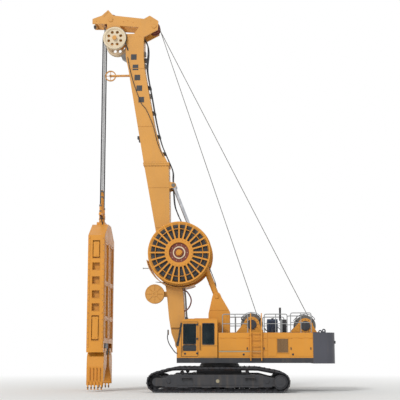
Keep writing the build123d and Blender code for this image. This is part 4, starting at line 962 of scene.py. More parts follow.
def winch(name, joint, radius, core, body):
    """Rope on the drum with bolted flanges, and the motor and hood beside it."""
    centre = pivot(joint)
    rope = Shape()
    pitch = 0.034
    wound = core + 0.072
    profile = [(-WINCH_HALF + FLANGE, core - 0.02)]
    turns = int((2 * WINCH_HALF - 2 * FLANGE) / pitch)
    for turn in range(turns):
        start = -WINCH_HALF + FLANGE + turn * pitch
        for step in range(4):
            angle = math.pi * (step + 0.5) / 4
            profile.append((start + pitch / 2 * (1 - math.cos(angle)), wound + pitch / 2 * math.sin(angle)))
    profile.append((WINCH_HALF - FLANGE, core - 0.02))
    rope.lathe(centre, "y", profile, sides=56)
    piece(name + "_rope", rope, body, "rope_wire", smooth=60)
    trim = Shape()
    for side in SIDES:
        y = side * (WINCH_HALF - 0.001)
        place = beside(centre, y)
        trim.bolts(place, "y", radius - 0.07, 16, 0.014, side * 0.009)
        trim.disc(place, "y", radius - 0.02, 0.0, side * 0.004, sides=56, bore=radius - 0.045)
    piece(name + "_flange_bolts", trim, body, "bare_steel")
    still = Shape()
    for side in SIDES:
        place = beside(centre, side * WINCH_SUPPORT)
        still.disc(place, "y", 0.21, 0.0, side * 0.05, sides=40, edge=0.01)
        still.bolts(place, "y", 0.27, 12, 0.016, side * 0.016)
    motor = beside(centre, WINCH_SUPPORT + 0.05)
    still.disc(motor, "y", 0.13, 0.0, 0.10, sides=32, edge=0.012)
    still.box(motor + Vector((-0.11, 0.09, -0.09)), motor + Vector((0.11, 0.14, 0.09)))
    piece(name + "_motor", still, "upper", "dark_paint", bevel=0.006)
    hood = Shape()
    rings = []
    for inner in arc(centre, radius + 0.045, HOOD_START, HOOD_END, 20):
        outer = inner + 0.02 * (inner - centre).normalized()
        rings.append([beside(inner, -HOOD_HALF), beside(inner, HOOD_HALF), beside(outer, HOOD_HALF),
                      beside(outer, -HOOD_HALF)])
    for low_y, high_y in ((-HOOD_HALF, -0.49), (0.49, HOOD_HALF)):
        strip = [[Vector((a.x, low_y, a.z)), Vector((a.x, high_y, a.z)), Vector((d.x, high_y, d.z)),
                  Vector((d.x, low_y, d.z))] for a, _, d, _ in rings]
        hood.loft(strip)
    for angle in (50, 92, 135):
        mark = arc(centre, radius + 0.055, angle, angle + 1, 1)[0]
        hood.tube([beside(mark, -0.55), beside(mark, 0.55)], 0.014, sides=8)
    for side in SIDES:
        for angle in (HOOD_START, HOOD_END):
            mark = arc(centre, radius + 0.055, angle, angle + 1, 1)[0]
            foot = centre + Vector((0.7 * (mark.x - centre.x), 0, 0.16))
            hood.tube([beside(mark, side * 0.54), beside(foot, side * 0.54)], 0.016, sides=8)
    piece(name + "_hood", hood, "upper", "dark_paint")


winch("winch_front", "winch_front_spin", 0.465, 0.29, "winch_front")
winch("winch_rear", "winch_rear_spin", 0.45, 0.28, "winch_rear")


def deck_machinery():
    """Cooler louvres and fan ring, muffler bands, pipe collars, post, base rails and deck hoses."""
    low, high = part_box("cooler_box")
    fins = Shape()
    rows = 16
    for row in range(rows):
        z = low.z + 0.06 + row * (high.z - low.z - 0.14) / rows
        for across, along in ((0, 1), (1, 0)):
            for face, out in ((low[across], -0.014), (high[across], 0.014)):
                profile = [(face, z), (face + out, z + 0.006), (face + out, z + 0.012), (face, z + 0.022)]
                fins.prism(profile, "xy"[along], low[along] + 0.05, high[along] - 0.05)
    piece("cooler_louvres", fins, "upper", "cooler_paint")
    cap = Shape()
    middle = (low + high) / 2
    cap.disc(Vector((middle.x, middle.y - 0.2, high.z)), "z", 0.045, 0.0, 0.05, sides=20, edge=0.008)
    cap.disc(Vector((middle.x, middle.y + 0.2, high.z)), "z", 0.16, -0.01, 0.02, sides=32, bore=0.13)
    for angle in range(0, 180, 30):
        spoke = math.radians(angle)
        reach = Vector((0.15 * math.cos(spoke), 0.15 * math.sin(spoke), 0.012))
        centre = Vector((middle.x, middle.y + 0.2, high.z))
        cap.tube([centre - Vector((reach.x, reach.y, -0.012)), centre + reach], 0.005, sides=6)
    piece("cooler_cap", cap, "upper", "dark_paint")
    muffler = Shape()
    for z in (2.55, 2.74, 2.93):
        muffler.box(at(2.643, -0.337, z - 0.014), at(2.917, -0.063, z + 0.014))
    muffler.box(at(2.62, -0.36, 2.46), at(2.94, -0.04, 2.48))
    pipe = Shape()
    for z in (3.07, 3.27, 3.5):
        pipe.disc(at(2.64, -0.20, z), "z", 0.054, -0.012, 0.012, sides=24)
    pipe.disc(at(2.64, -0.20, 3.56), "z", 0.05, 0.0, 0.006, sides=24)
    piece("muffler_bands", muffler, "upper", "dark_paint")
    piece("exhaust_collars", pipe, "upper", "bare_steel")
    base = Shape()
    for y in (-0.585, 0.585):
        base.box(at(2.98, y - 0.02, 2.462), at(4.24, y + 0.02, 2.50))
    piece("winch_base_rails", base, "upper", "hub_red", material=RED_BROWN)
    post = Shape()
    post.box(at(2.62, -0.62, 2.46), at(2.72, -0.52, 3.02))
    post.box(at(2.58, -0.66, 2.46), at(2.76, -0.48, 2.475))
    post.disc(at(2.67, -0.57, 3.02), "z", 0.03, 0.0, 0.05, sides=16)
    piece("valve_post", post, "upper", "rail_steel", bevel=0.01)
    hoses = Shape()
    for number in range(5):
        y = -0.60 + 0.030 * number
        path = [at(2.62, y, 2.62), at(2.50, y, 2.70), at(2.30, y - 0.02, 2.52), at(2.06, y - 0.04, 2.55),
                at(1.96, y - 0.05, 2.60 + 0.02 * number)]
        hoses.tube(smooth_path(path, 6), 0.013, sides=8)
    piece("deck_hoses", hoses, "upper", "hose_rubber")


deck_machinery()


def walkway_rails():
    """Round-tube rails with bent corners and foot plates, in place of the plain bars."""
    rails = Shape()
    feet = Shape()
    radius = 0.020
    for front, rear, top in ((0.15, 1.25, 3.25), (1.90, 2.90, 3.25), (3.00, 3.90, 3.30)):
        y = -1.49
        first, last = front + 0.022, rear - 0.022
        bar_z = top - 0.022
        corners = ((first, HOUSING_TOP), (first, bar_z), (last, bar_z), (last, HOUSING_TOP))
        rails.tube(rounded_bar([at(x, y, z) for x, z in corners], 0.09), radius)
        rails.tube([at(first, y, bar_z - 0.40), at(last, y, bar_z - 0.40)], radius * 0.85)
        middle = (first + last) / 2
        rails.tube([at(middle, y, HOUSING_TOP), at(middle, y, bar_z)], radius * 0.9)
        for x in (first, middle, last):
            feet.box(at(x - 0.05, y - 0.04, HOUSING_TOP), at(x + 0.05, y + 0.04, HOUSING_TOP + 0.012))
    piece("walkway_rails", rails.mirror(), "upper", "rail_steel", replaces=("handrails",))
    piece("rail_feet", feet.mirror(), "upper", "rail_steel", bevel=0.003)


def round_ladder():
    """Ladder of round tube with ribbed rungs, in place of the plain one."""
    y = -1.67
    ladder = Shape()
    for x in (1.35, 1.80):
        path = [at(x, y, 1.30), at(x, y, 3.225), at(x, y + 0.02, 3.25)]
        ladder.tube(path, 0.024)
        for z in (1.45, 2.36):
            ladder.tube([at(x, y, z), at(x, -1.552, z)], 0.018, sides=10)
            ladder.box(at(x - 0.05, -1.562, z - 0.05), at(x + 0.05, -1.55, z + 0.05))
    for number in range(5):
        z = 1.42 + 0.26 * number
        ladder.box(at(1.37, y - 0.022, z - 0.012), at(1.78, y + 0.022, z + 0.010))
        for step in range(9):
            x = 1.40 + 0.045 * step
            ladder.disc(at(x, y, z + 0.010), "z", 0.008, 0.0, 0.005, sides=8)
    piece("round_ladder", ladder, "upper", "yellow_paint", replaces=("ladder",))


walkway_rails()
round_ladder()


TOWER_FACE = 0.497


def tower_details():
    """Seam plates, bolts and pin caps of the luffing tower and the mast foot."""
    trim = Shape()
    for side in SIDES:
        face = side * TOWER_FACE
        outline = [(-0.41, 3.44), (0.41, 3.44), (0.38, 3.50), (-0.395, 3.50)]
        trim.plate(outline, face, face + side * 0.012)
        pin = beside(pivot("luff_barrel_swing"), face)
        trim.disc(pin, "y", 0.105, 0.0, side * 0.03, sides=40, edge=0.008)
        trim.bolts(beside(pin, side * 0.03), "y", 0.07, 6, 0.012, side * 0.01)
        foot = pivot("mast_luff")
        trim.disc(beside(foot, side * 0.42), "y", 0.14, 0.0, side * 0.03, sides=40, edge=0.01)
        trim.bolts(beside(foot, side * 0.45), "y", 0.10, 6, 0.014, side * 0.012)
        for x, z in ((-0.38, 2.6), (-0.38, 2.9), (-0.38, 3.2), (0.36, 2.6), (0.36, 2.9), (0.36, 3.2)):
            place = at(x, face, z)
            trim.disc(place, "y", 0.018, 0.0, side * 0.014, sides=6)
    piece("tower_trim", trim, "upper", "yellow_paint")
    ring = Shape()
    for number in range(48):
        angle = 2 * math.pi * number / 48
        ring.disc(at(0.81 * math.cos(angle), 0.81 * math.sin(angle), 1.12), "z", 0.014, 0.0, 0.022, sides=6)
    piece("ring_bolts", ring, "undercarriage", "track_steel")


tower_details()


# Mast

def edge_line(points):
    """Function that gives X from the slewing axis at a height, along a list of points."""
    def line(z):
        for (x0, z0), (x1, z1) in zip(points, points[1:]):
            if z <= z1:
                return x0 + (x1 - x0) * (z - z0) / (z1 - z0)
        return points[-1][0]
    return line


mast_front = edge_line([(-1.86, 1.90), (-2.075, 2.45), (-2.18, 3.12), (-2.29, 4.23), (-3.34, 9.96),
                        (-4.10, 14.41), (-4.22, 14.95), (-4.22, 15.90)])
mast_rear = edge_line([(-1.44, 2.0), (-1.571, 4.23), (-2.167, 7.13), (-2.20, 8.90), (-2.24, 9.96),
                       (-2.615, 10.70), (-2.88, 11.72), (-3.36, 14.41), (-3.40, 14.95), (-3.40, 15.90)])
MAST_Y = 0.40
SEAM_Z = 9.96


def mast_details():
    """Bolted flange at the seam, weld seams, blank plates, fittings and lamps of the mast."""
    bolts = Shape()
    flange_ring = Shape()
    for z0, z1 in ((9.885, 9.956), (9.964, 10.035)):
        front, rear = mast_front(z0) - 0.035, mast_rear(z0) + 0.035
        half = MAST_Y + 0.035
        for a, b in (((front, -half), (rear, -MAST_Y)), ((front, MAST_Y), (rear, half)),
                     ((front, -MAST_Y), (front + 0.045, MAST_Y)), ((rear - 0.045, -MAST_Y), (rear, MAST_Y))):
            flange_ring.box(at(a[0], a[1], z0), at(b[0], b[1], z1))
    piece("mast_flange", flange_ring, "mast", "mast_paint", bevel=0.006)
    for number in range(8):
        x = -3.25 + 0.135 * number
        for side in SIDES:
            for z in (9.885, 10.035):
                place = at(x, side * (MAST_Y + 0.018), z)
                bolts.disc(place, "z", 0.014, 0.0, math.copysign(0.014, z - SEAM_Z), sides=6)
    piece("mast_flange_bolts", bolts, "mast", "bare_steel")
    ribs = Shape()
    for z in (5.3, 7.1, 8.9, 11.7, 14.41):
        front, rear = mast_front(z), mast_rear(z)
        for side in SIDES:
            ribs.box(at(front + 0.02, side * (MAST_Y - 0.002), z - 0.012),
                     at(rear - 0.02, side * (MAST_Y + 0.010), z + 0.012))
    piece("mast_weld_seams", ribs, "mast", "mast_paint")
    plates = Shape()
    for z, share in ((14.95, 0.45), (14.46, 0.46), (13.98, 0.47), (13.48, 0.48), (12.94, 0.48)):
        x = mast_front(z) + share * (mast_rear(z) - mast_front(z))
        for side in SIDES:
            plates.box(at(x - 0.13, side * (MAST_Y - 0.002), z - 0.13),
                       at(x + 0.13, side * (MAST_Y + 0.006), z + 0.13))
    piece("mast_blank_plates", plates, "mast", "dark_paint", bevel=0.003)
    fittings = Shape()
    for x, z, size in ((-4.17, 14.99, 0.06), (-3.39, 14.62, 0.07), (-3.40, 15.20, 0.07), (-3.14, 13.2, 0.06)):
        fittings.box(at(x - size, -0.12, z - 0.09), at(x + size, 0.12, z + 0.09))
    fittings.plate([(-4.50, 15.16), (-4.20, 15.30), (-4.20, 14.82), (-4.42, 14.96)], -0.05, 0.05)
    front = mast_front(5.33)
    fittings.tube([at(front + 0.02, 0, 5.33), at(-3.37, 0, 5.33)], 0.018)
    fittings.disc(at(-3.37, 0, 5.33), "x", 0.03, -0.02, 0.02, sides=16)
    fittings.tube([at(mast_front(4.68) + 0.02, 0, 4.68), at(-2.82, 0, 4.72)], [0.03, 0.012])
    piece("mast_fittings", fittings, "mast", "rail_steel", bevel=0.006)
    lamp = Shape()
    lens = Shape()
    for side in SIDES:
        place = at(mast_front(11.2) - 0.05, side * 0.26, 11.2)
        lamp.box(place + Vector((-0.05, -0.09, -0.07)), place + Vector((0.06, 0.09, 0.07)))
        lens.box(place + Vector((-0.058, -0.075, -0.055)), place + Vector((-0.046, 0.075, 0.055)))
    piece("mast_lamps", lamp, "mast", "dark_paint", bevel=0.008)
    piece("mast_lamp_lenses", lens, "mast", "cab_glass", material=LAMP_LENS, bevel=0.004)


def mast_lines():
    """Hose bundle behind the mast from head to reel, pipes behind the lower mast, and a cable."""
    hoses = Shape()
    clips = Shape()
    for number in range(4):
        y = -0.20 + 0.13 * number
        path = [at(-3.58, y, 16.02), at(-3.38, y, 15.86), at(-3.25, y, 15.60), at(-3.22, y, 15.2)]
        for z in (14.4, 13.2, 12.0, 11.0, 10.3):
            path.append(at(mast_rear(z) + 0.10, y, z))
        for z in (9.7, 9.2):
            path.append(at(mast_rear(z) + 0.16, y * 0.8, z))
        path += [at(-1.98, y, 8.2), at(-1.84, y * 1.6, 7.75), at(-1.72, y * 2.2, 7.48)]
        hoses.tube(smooth_path(path, 5), 0.026, sides=10)
    for z in (14.9, 13.6, 12.4, 11.3, 10.5):
        x = mast_rear(z)
        clips.box(at(x - 0.01, -0.27, z - 0.03), at(x + 0.14, 0.26, z + 0.03))
    piece("mast_hoses", hoses, "mast", "hose_rubber")
    piece("mast_hose_clips", clips, "mast", "dark_paint", bevel=0.004)
    pipes = Shape()
    light = Shape()
    for number, y in enumerate((-0.24, -0.10, 0.10, 0.24)):
        path = [at(-1.34, y, 2.55), at(-1.40, y, 2.9)]
        path += [at(mast_rear(z) + 0.07, y, z) for z in (3.4, 4.0, 4.4)]
        path.append(at(mast_rear(4.78) + 0.05, y, 4.78))
        shape = light if number == 0 else pipes
        shape.tube(smooth_path(path, 5), 0.022, sides=10)
    piece("mast_foot_hoses", pipes, "mast", "hose_rubber")
    piece("mast_foot_hose_light", light, "mast", "hose_rubber", material=HOSE_LIGHT)
    cable = Shape()
    y = -MAST_Y - 0.022
    path = [at(-4.13, y, 14.95), at(-4.0, y, 14.3), at(-3.80, y, 13.6), at(-3.50, y, 12.8),
            at(-3.25, y, 12.45)]
    path += [at(mast_rear(z) - 0.06, y, z) for z in (11.7, 10.9, 10.3)]
    cable.tube(smooth_path(path, 6), 0.016, sides=8)
    piece("mast_cable", cable, "mast", "hose_rubber")


mast_details()
mast_lines()


HEAD_FACE = 0.39
ROPE_Y = 0.12
ROPE_RADIUS = 0.016
FRONT_GROOVE, REAR_GROOVE = 0.30, 0.225
SHEAVE_FACE = 0.165
HOSE_Y = 0.485
HOSE_RADIUS = 0.03
HANG_X = -5.25


def head_details():
    """Bolts, pin caps, rope keepers and edge strips of the head."""
    trim = Shape()
    joints = ("head_sheaves_front_spin", "head_sheaves_rear_spin")
    for side in SIDES:
        face = side * HEAD_FACE
        for joint in joints:
            place = beside(pivot(joint), face)
            trim.disc(place, "y", 0.11, 0.0, side * 0.024, sides=32, edge=0.006)
            trim.bolts(beside(place, side * 0.024), "y", 0.078, 6, 0.012, side * 0.010)
        hub = beside(pivot("hose_pulleys_spin"), side * 0.61)
        trim.disc(hub, "y", 0.10, -side * 0.03, side * 0.010, sides=32, edge=0.006)
        for x, z in ((-5.60, 16.70), (-5.45, 16.66), (-4.35, 16.66), (-4.15, 16.70), (-3.9, 16.62),
                     (-3.1, 16.68), (-4.05, 15.96), (-3.6, 15.96)):
            trim.disc(at(x, face, z), "y", 0.02, 0.0, side * 0.014, sides=6)
        strip = [(-5.30, 16.935), (-5.08, 17.165), (-5.06, 17.13), (-5.27, 16.90)]
        trim.plate(strip, face - side * 0.002, face + side * 0.012)
    for x, z in ((-5.36, 16.62), (-3.30, 16.62)):
        trim.tube([at(x, -0.335, z), at(x, 0.335, z)], 0.022)
    piece("head_trim", trim, "mast", "mast_paint")
    lamp = Shape().box(at(-5.77, -0.10, 16.50), at(-5.68, 0.10, 16.62))
    piece("head_lamp", lamp, "mast", "dark_paint", bevel=0.01)
    for name, radius in (("front", FRONT_GROOVE), ("rear", REAR_GROOVE)):
        body = "head_sheaves_" + name
        face = Shape()
        for side in SIDES:
            place = beside(pivot(body + "_spin"), side * SHEAVE_FACE)
            face.bolts(place, "y", 0.11, 8, 0.012, side * 0.008)
            face.disc(place, "y", radius - 0.03, 0.0, side * 0.006, sides=48, bore=radius - 0.06)
        piece("sheave_bolts_" + name, face, body, "bare_steel")
    hubs = Shape()
    for y, out in ((0.42, -1), (0.55, 1), (-0.42, 1), (-0.55, -1)):
        place = beside(pivot("hose_pulleys_spin"), y)
        hubs.disc(place, "y", 0.515, 0.0, out * 0.005, sides=64, bore=0.46)
    piece("pulley_rims", hubs, "hose_pulleys", "pulley_cream", smooth=60)
    guide = Shape()
    for side in SIDES:
        place = beside(pivot("guide_wheel_spin"), side * 0.035)
        guide.disc(place, "y", 0.243, 0.0, side * 0.003, sides=48, bore=0.212)
    piece("guide_wheel_rims", guide, "guide_wheel", "mast_paint")
    arm = Shape()
    for side in SIDES:
        hub = beside(pivot("guide_wheel_spin"), side * 0.061)
        arm.disc(hub, "y", 0.03, 0.0, side * 0.012, sides=6)
        for x in (-4.24, -4.50):
            arm.disc(at(x, side * 0.061, 14.20), "y", 0.014, 0.0, side * 0.010, sides=6)
    piece("guide_arm_bolts", arm, "mast", "bare_steel")


def head_ropes():
    """Ropes over both sheaves of the head, and down to the winches on the upper works."""
    front, rear = pivot("head_sheaves_front_spin"), pivot("head_sheaves_rear_spin")
    over = Shape()
    leaving = -8
    for y in (-ROPE_Y, ROPE_Y):
        path = arc(beside(front, y), FRONT_GROOVE + ROPE_RADIUS, 180, 92, 12)
        path += arc(beside(rear, y), REAR_GROOVE + ROPE_RADIUS, 88, leaving, 12)
        over.tube(path, ROPE_RADIUS, sides=8)
    piece("head_ropes", over, "mast", "rope_wire")
    drums = ("winch_front_spin", -ROPE_Y, 0.36), ("winch_rear_spin", ROPE_Y, 0.35)
    for number, (joint, y, reach) in enumerate(drums):
        line = Shape()
        drum = pivot(joint)
        start = arc(beside(rear, y), REAR_GROOVE + ROPE_RADIUS, leaving, leaving, 1)[0]
        along = Vector((drum.x - start.x, 0, drum.z - start.z)).normalized()
        side = Vector((along.z, 0, -along.x))
        if side.x < 0:
            side = -side
        end = drum + reach * side + Vector((0, y * 1.5, 0))
        steps = [start.lerp(end, share / 24) for share in range(25)]
        line.tube(steps, ROPE_RADIUS, sides=8)
        thing = piece("winch_line_%d" % (number + 1), line, None, "rope_wire")
        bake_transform(thing)


head_details()
head_ropes()


# Hose reels and cable reel

TROUGH_INNER, TROUGH_OUTER = 1.455, 1.475
TROUGH_START, TROUGH_END = -170, -65
TROUGH_HALF = 0.60


def reel_details(name, joint, side, body, pack):
    """Wound hose in layers, hub with its swivel, rim beads and bolts of one reel."""
    centre = pivot(joint)
    centre.y = 0
    y_out, y_in = 1.14, 0.62
    wound = Shape()
    rings = 6
    low, high = 0.71, 1.05
    pitch = (high - low) / rings
    profile = [(side * low, 0.545)]
    for turn in range(rings):
        for step in range(6):
            angle = math.pi * (step + 0.5) / 6
            y = low + pitch * (turn + 0.5 * (1 - math.cos(angle)))
            profile.append((side * y, 1.202 + 0.028 * math.sin(angle)))
    profile.append((side * high, 0.545))
    wound.lathe(centre, "y", profile, sides=96)
    for layer in range(10):
        for y in (low, high):
            radius = 0.62 + 0.06 * layer
            ring = [(side * y - 0.012, radius - 0.024), (side * y - 0.012, radius + 0.024),
                    (side * y + 0.012, radius + 0.024), (side * y + 0.012, radius - 0.024)]
            wound.lathe(centre, "y", ring, sides=72)
    piece(name + "_wound_hose", wound, body, "hose_rubber", replaces=(pack,), smooth=60)
    trim = Shape()
    beads = Shape()
    for radius, y in ((1.3325, y_out - 0.015), (1.3825, y_in + 0.015)):
        loop = arc(beside(centre, side * y), radius, 0, 360, 96)[:-1]
        beads.tube(loop, 0.0185, sides=8, loop=True)
    loop = arc(beside(centre, side * (y_out + 0.001)), 1.03, 0, 360, 96)[:-1]
    beads.tube(loop, 0.014, sides=8, loop=True)
    piece(name + "_rims", beads, body, "yellow_paint", smooth=60)
    face = beside(centre, side * y_out)
    trim.disc(face, "y", 0.60, 0.0, side * 0.010, sides=64, bore=0.44)
    trim.bolts(beside(face, side * 0.010), "y", 0.545, 24, 0.014, side * 0.012)
    piece(name + "_hub_ring", trim, body, "yellow_paint")
    hub = Shape()
    floor = beside(centre, side * (y_out - 0.09))
    hub.disc(floor, "y", 0.425, 0.0, side * 0.012, sides=64, bore=0.15)
    piece(name + "_hub_floor", hub, body, "hub_red")
    light = Shape()
    light.disc(beside(floor, side * 0.012), "y", 0.27, 0.0, side * 0.02, sides=48, bore=0.22)
    light.bolts(beside(floor, side * 0.012), "y", 0.35, 10, 0.016, side * 0.014)
    piece(name + "_hub_bolts", light, body, "pulley_cream")
    swivel = Shape()
    swivel.disc(beside(centre, side * 1.18), "y", 0.125, -side * 0.02, side * 0.035, sides=32, edge=0.01)
    swivel.bolts(beside(centre, side * 1.215), "y", 0.07, 6, 0.013, side * 0.010)
    piece(name + "_swivel", swivel, "mast", "yellow_paint")


reel_details("left_reel", "hose_reel_left_spin", LEFT, "hose_reel_left", "hose_pack_left")
reel_details("right_reel", "hose_reel_right_spin", RIGHT, "hose_reel_right", "hose_pack_right")


def reel_guard_details():
    """Trough under the reels with rolled edges and ribs, and the cable reel's spokes, cable and arch."""
    centre = pivot("hose_reel_left_spin")
    centre.y = 0
    sheet = Shape()
    rings = []
    for inner, outer in zip(arc(centre, TROUGH_INNER, TROUGH_START, TROUGH_END, 48),
                            arc(centre, TROUGH_OUTER, TROUGH_START, TROUGH_END, 48)):
        rings.append([beside(inner, -TROUGH_HALF), beside(inner, TROUGH_HALF), beside(outer, TROUGH_HALF),
                      beside(outer, -TROUGH_HALF)])
    sheet.loft(rings)
    piece("reel_trough", sheet, "mast", "mast_paint")
    edge = Shape()
    for side in SIDES:
        rim = arc(beside(centre, side * 0.59), TROUGH_OUTER, TROUGH_START, TROUGH_END, 48)
        edge.tube(rim, 0.018, sides=8)
    for angle in (-165, -150, -135, -120, -105, -90, -75):
        place = arc(centre, 1.482, angle, angle + 1, 1)[0]
        edge.tube([beside(place, -0.58), beside(place, 0.58)], 0.014, sides=8)
    piece("reel_guard_ribs", edge, "mast", "mast_paint")
    hub = pivot("cable_reel_spin")
    faces = Shape()
    low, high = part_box("cable_reel")
    for y, side in ((low.y, -1), (high.y, 1)):
        place = Vector((hub.x, y, hub.z))
        faces.disc(place, "y", 0.415, 0.0, side * 0.010, sides=56, bore=0.375)
        faces.disc(place, "y", 0.13, 0.0, side * 0.014, sides=32, bore=0.045)
        faces.bolts(beside(place, side * 0.014), "y", 0.10, 6, 0.011, side * 0.008)
        for number in range(8):
            angle = 2 * math.pi * number / 8
            start = place + Vector((0.13 * math.cos(angle), side * 0.004, 0.13 * math.sin(angle)))
            end = place + Vector((0.38 * math.cos(angle), side * 0.004, 0.38 * math.sin(angle)))
            faces.tube([start, end], 0.014, sides=6)
    piece("cable_reel_faces", faces, "cable_reel", "mast_paint")
    cable = Shape()
    first, last = low.y + 0.026, high.y - 0.026
    rounds = 6
    pitch = (last - first) / rounds
    profile = [(first, 0.235)]
    for turn in range(rounds):
        for step in range(4):
            angle = math.pi * (step + 0.5) / 4
            y = first + pitch * (turn + 0.5 * (1 - math.cos(angle)))
            profile.append((y, 0.34 + 0.012 * math.sin(angle)))
    profile.append((last, 0.235))
    cable.lathe(Vector((hub.x, 0, hub.z)), "y", profile, sides=56)
    piece("cable_wound", cable, "cable_reel", "hose_rubber", smooth=60)
    arch = Shape()
    bends = ((-1.72, 3.35), (-1.36, 3.52), (-1.22, 3.9), (-1.40, 4.26), (-1.66, 4.36))
    arch.tube(smooth_path([at(x, -0.30, z) for x, z in bends], 6), 0.030)
    piece("cable_arch", arch, "mast", "hub_red", material=RED_BROWN)


reel_guard_details()


# Luffing cylinders

def cylinder_details():
    """Gland, clamps and pipe along each barrel."""
    foot = pivot("luff_barrel_swing")
    slide = Vector(JOINTS["luff_rod_slide"]["axis"])
    across = Vector((slide.z, 0, -slide.x))
    barrels = Shape()
    pipes = Shape()
    for side in SIDES:
        start = beside(foot, side * 0.30)
        for distance, width, size in ((3.25, 0.07, 0.135), (3.08, 0.03, 0.138), (0.62, 0.05, 0.134),
                                      (1.9, 0.045, 0.134)):
            middle = start + distance * slide
            barrels.tube([middle - width / 2 * slide, middle + width / 2 * slide], size, sides=40)
        line = [start + 0.45 * slide + 0.120 * across, start + 0.6 * slide + 0.160 * across,
                start + 2.85 * slide + 0.160 * across, start + 3.0 * slide + 0.120 * across]
        pipes.tube(rounded_bar(line, 0.06), 0.016, sides=8)
        for distance in (1.2, 1.9, 2.6):
            middle = start + distance * slide + 0.14 * across
            pipes.tube([middle - 0.02 * slide, middle + 0.02 * slide], 0.034, sides=8)
    piece("barrel_bands", barrels, "luff_barrels", "yellow_paint")
    piece("barrel_pipes", pipes, "luff_barrels", "dark_paint")
    pins = Shape()
    eye = at(-2.02, 0, 9.0)
    for side in SIDES:
        face = side * 0.392
        place = beside(eye, face)
        pins.disc(place, "y", 0.085, 0.0, side * 0.022, sides=32, edge=0.006)
        pins.bolts(beside(place, side * 0.022), "y", 0.055, 4, 0.010, side * 0.008)
    piece("eye_pin_caps", pins, "mast", "bare_steel")


cylinder_details()


# Hanging ropes and hoses


def hung(name, shape, slot, replaces=(), material=None):
    """Piece on the hanger that shortens towards its top as the grab rises."""
    thing = piece(name, shape, "hanger", slot, replaces=replaces, material=material, smooth=60)
    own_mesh(thing)


def hanging_gear():
    """Stranded hoist ropes, hoses with their couplings, and the sockets on the grab."""
    ropes = Shape()
    low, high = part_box("hoist_ropes")
    for y in (-ROPE_Y, ROPE_Y):
        centre = Vector((low.x + ROPE_RADIUS, y, 0))
        for strand in range(4):
            path = []
            steps = 150
            for step in range(steps + 1):
                z = low.z + (high.z - low.z) * step / steps
                angle = 2 * math.pi * (z / 0.42 + strand / 4)
                path.append(centre + Vector((0.0075 * math.cos(angle), 0.0075 * math.sin(angle), z)))
            ropes.tube(path, 0.0085, sides=6)
    hung("stranded_ropes", ropes, "rope_wire", replaces=("hoist_ropes",))
    hoses = Shape()
    low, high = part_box("hanging_hoses")
    for y in (-HOSE_Y, HOSE_Y):
        path = [Vector((low.x + HOSE_RADIUS, y, low.z + (high.z - low.z) * step / 40)) for step in range(41)]
        hoses.tube(path, HOSE_RADIUS, sides=12)
    hung("hanging_hose_pair", hoses, "hose_rubber", replaces=("hanging_hoses",))
    sockets = Shape()
    for reach, top in ((ROPE_Y, 8.85), (HOSE_Y, 8.15)):
        for y in (-reach, reach):
            sockets.disc(at(HANG_X, y, 0), "z", 0.056, top - 0.10, top - 0.02, sides=6)
            sockets.disc(at(HANG_X, y, 0), "z", 0.052, top - 0.34, top - 0.28, sides=24, edge=0.005)
    piece("socket_nuts", sockets, "grab", "bare_steel")
    over = Shape()
    wheel = pivot("hose_pulleys_spin")
    for side in SIDES:
        path = arc(beside(wheel, side * HOSE_Y), 0.53, 180, -22, 32)
        bends = ((-4.20, 0.48, 15.50), (-4.15, 0.45, 15.36), (-4.12, 0.39, 15.27))
        path += smooth_path([at(x, side * y, z) for x, y, z in bends], 5)
        over.tube(path, HOSE_RADIUS - 0.002, sides=12)
    piece("pulley_hoses", over, "mast", "hose_rubber")


hanging_gear()


# Grab

GRAB_LOW, GRAB_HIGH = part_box("grab_frame")
GRAB_X = (GRAB_LOW.x + GRAB_HIGH.x) / 2
GRAB_HALF_X = (GRAB_HIGH.x - GRAB_LOW.x) / 2
GRAB_HALF_Y = GRAB_HIGH.y
JAW_OPEN = 45.0
TALL_WINDOWS = (2.14, 3.20), (5.66, 6.42)
SMALL_WINDOWS = (3.40, 3.71), (3.95, 4.26), (4.55, 4.86), (5.15, 5.46)


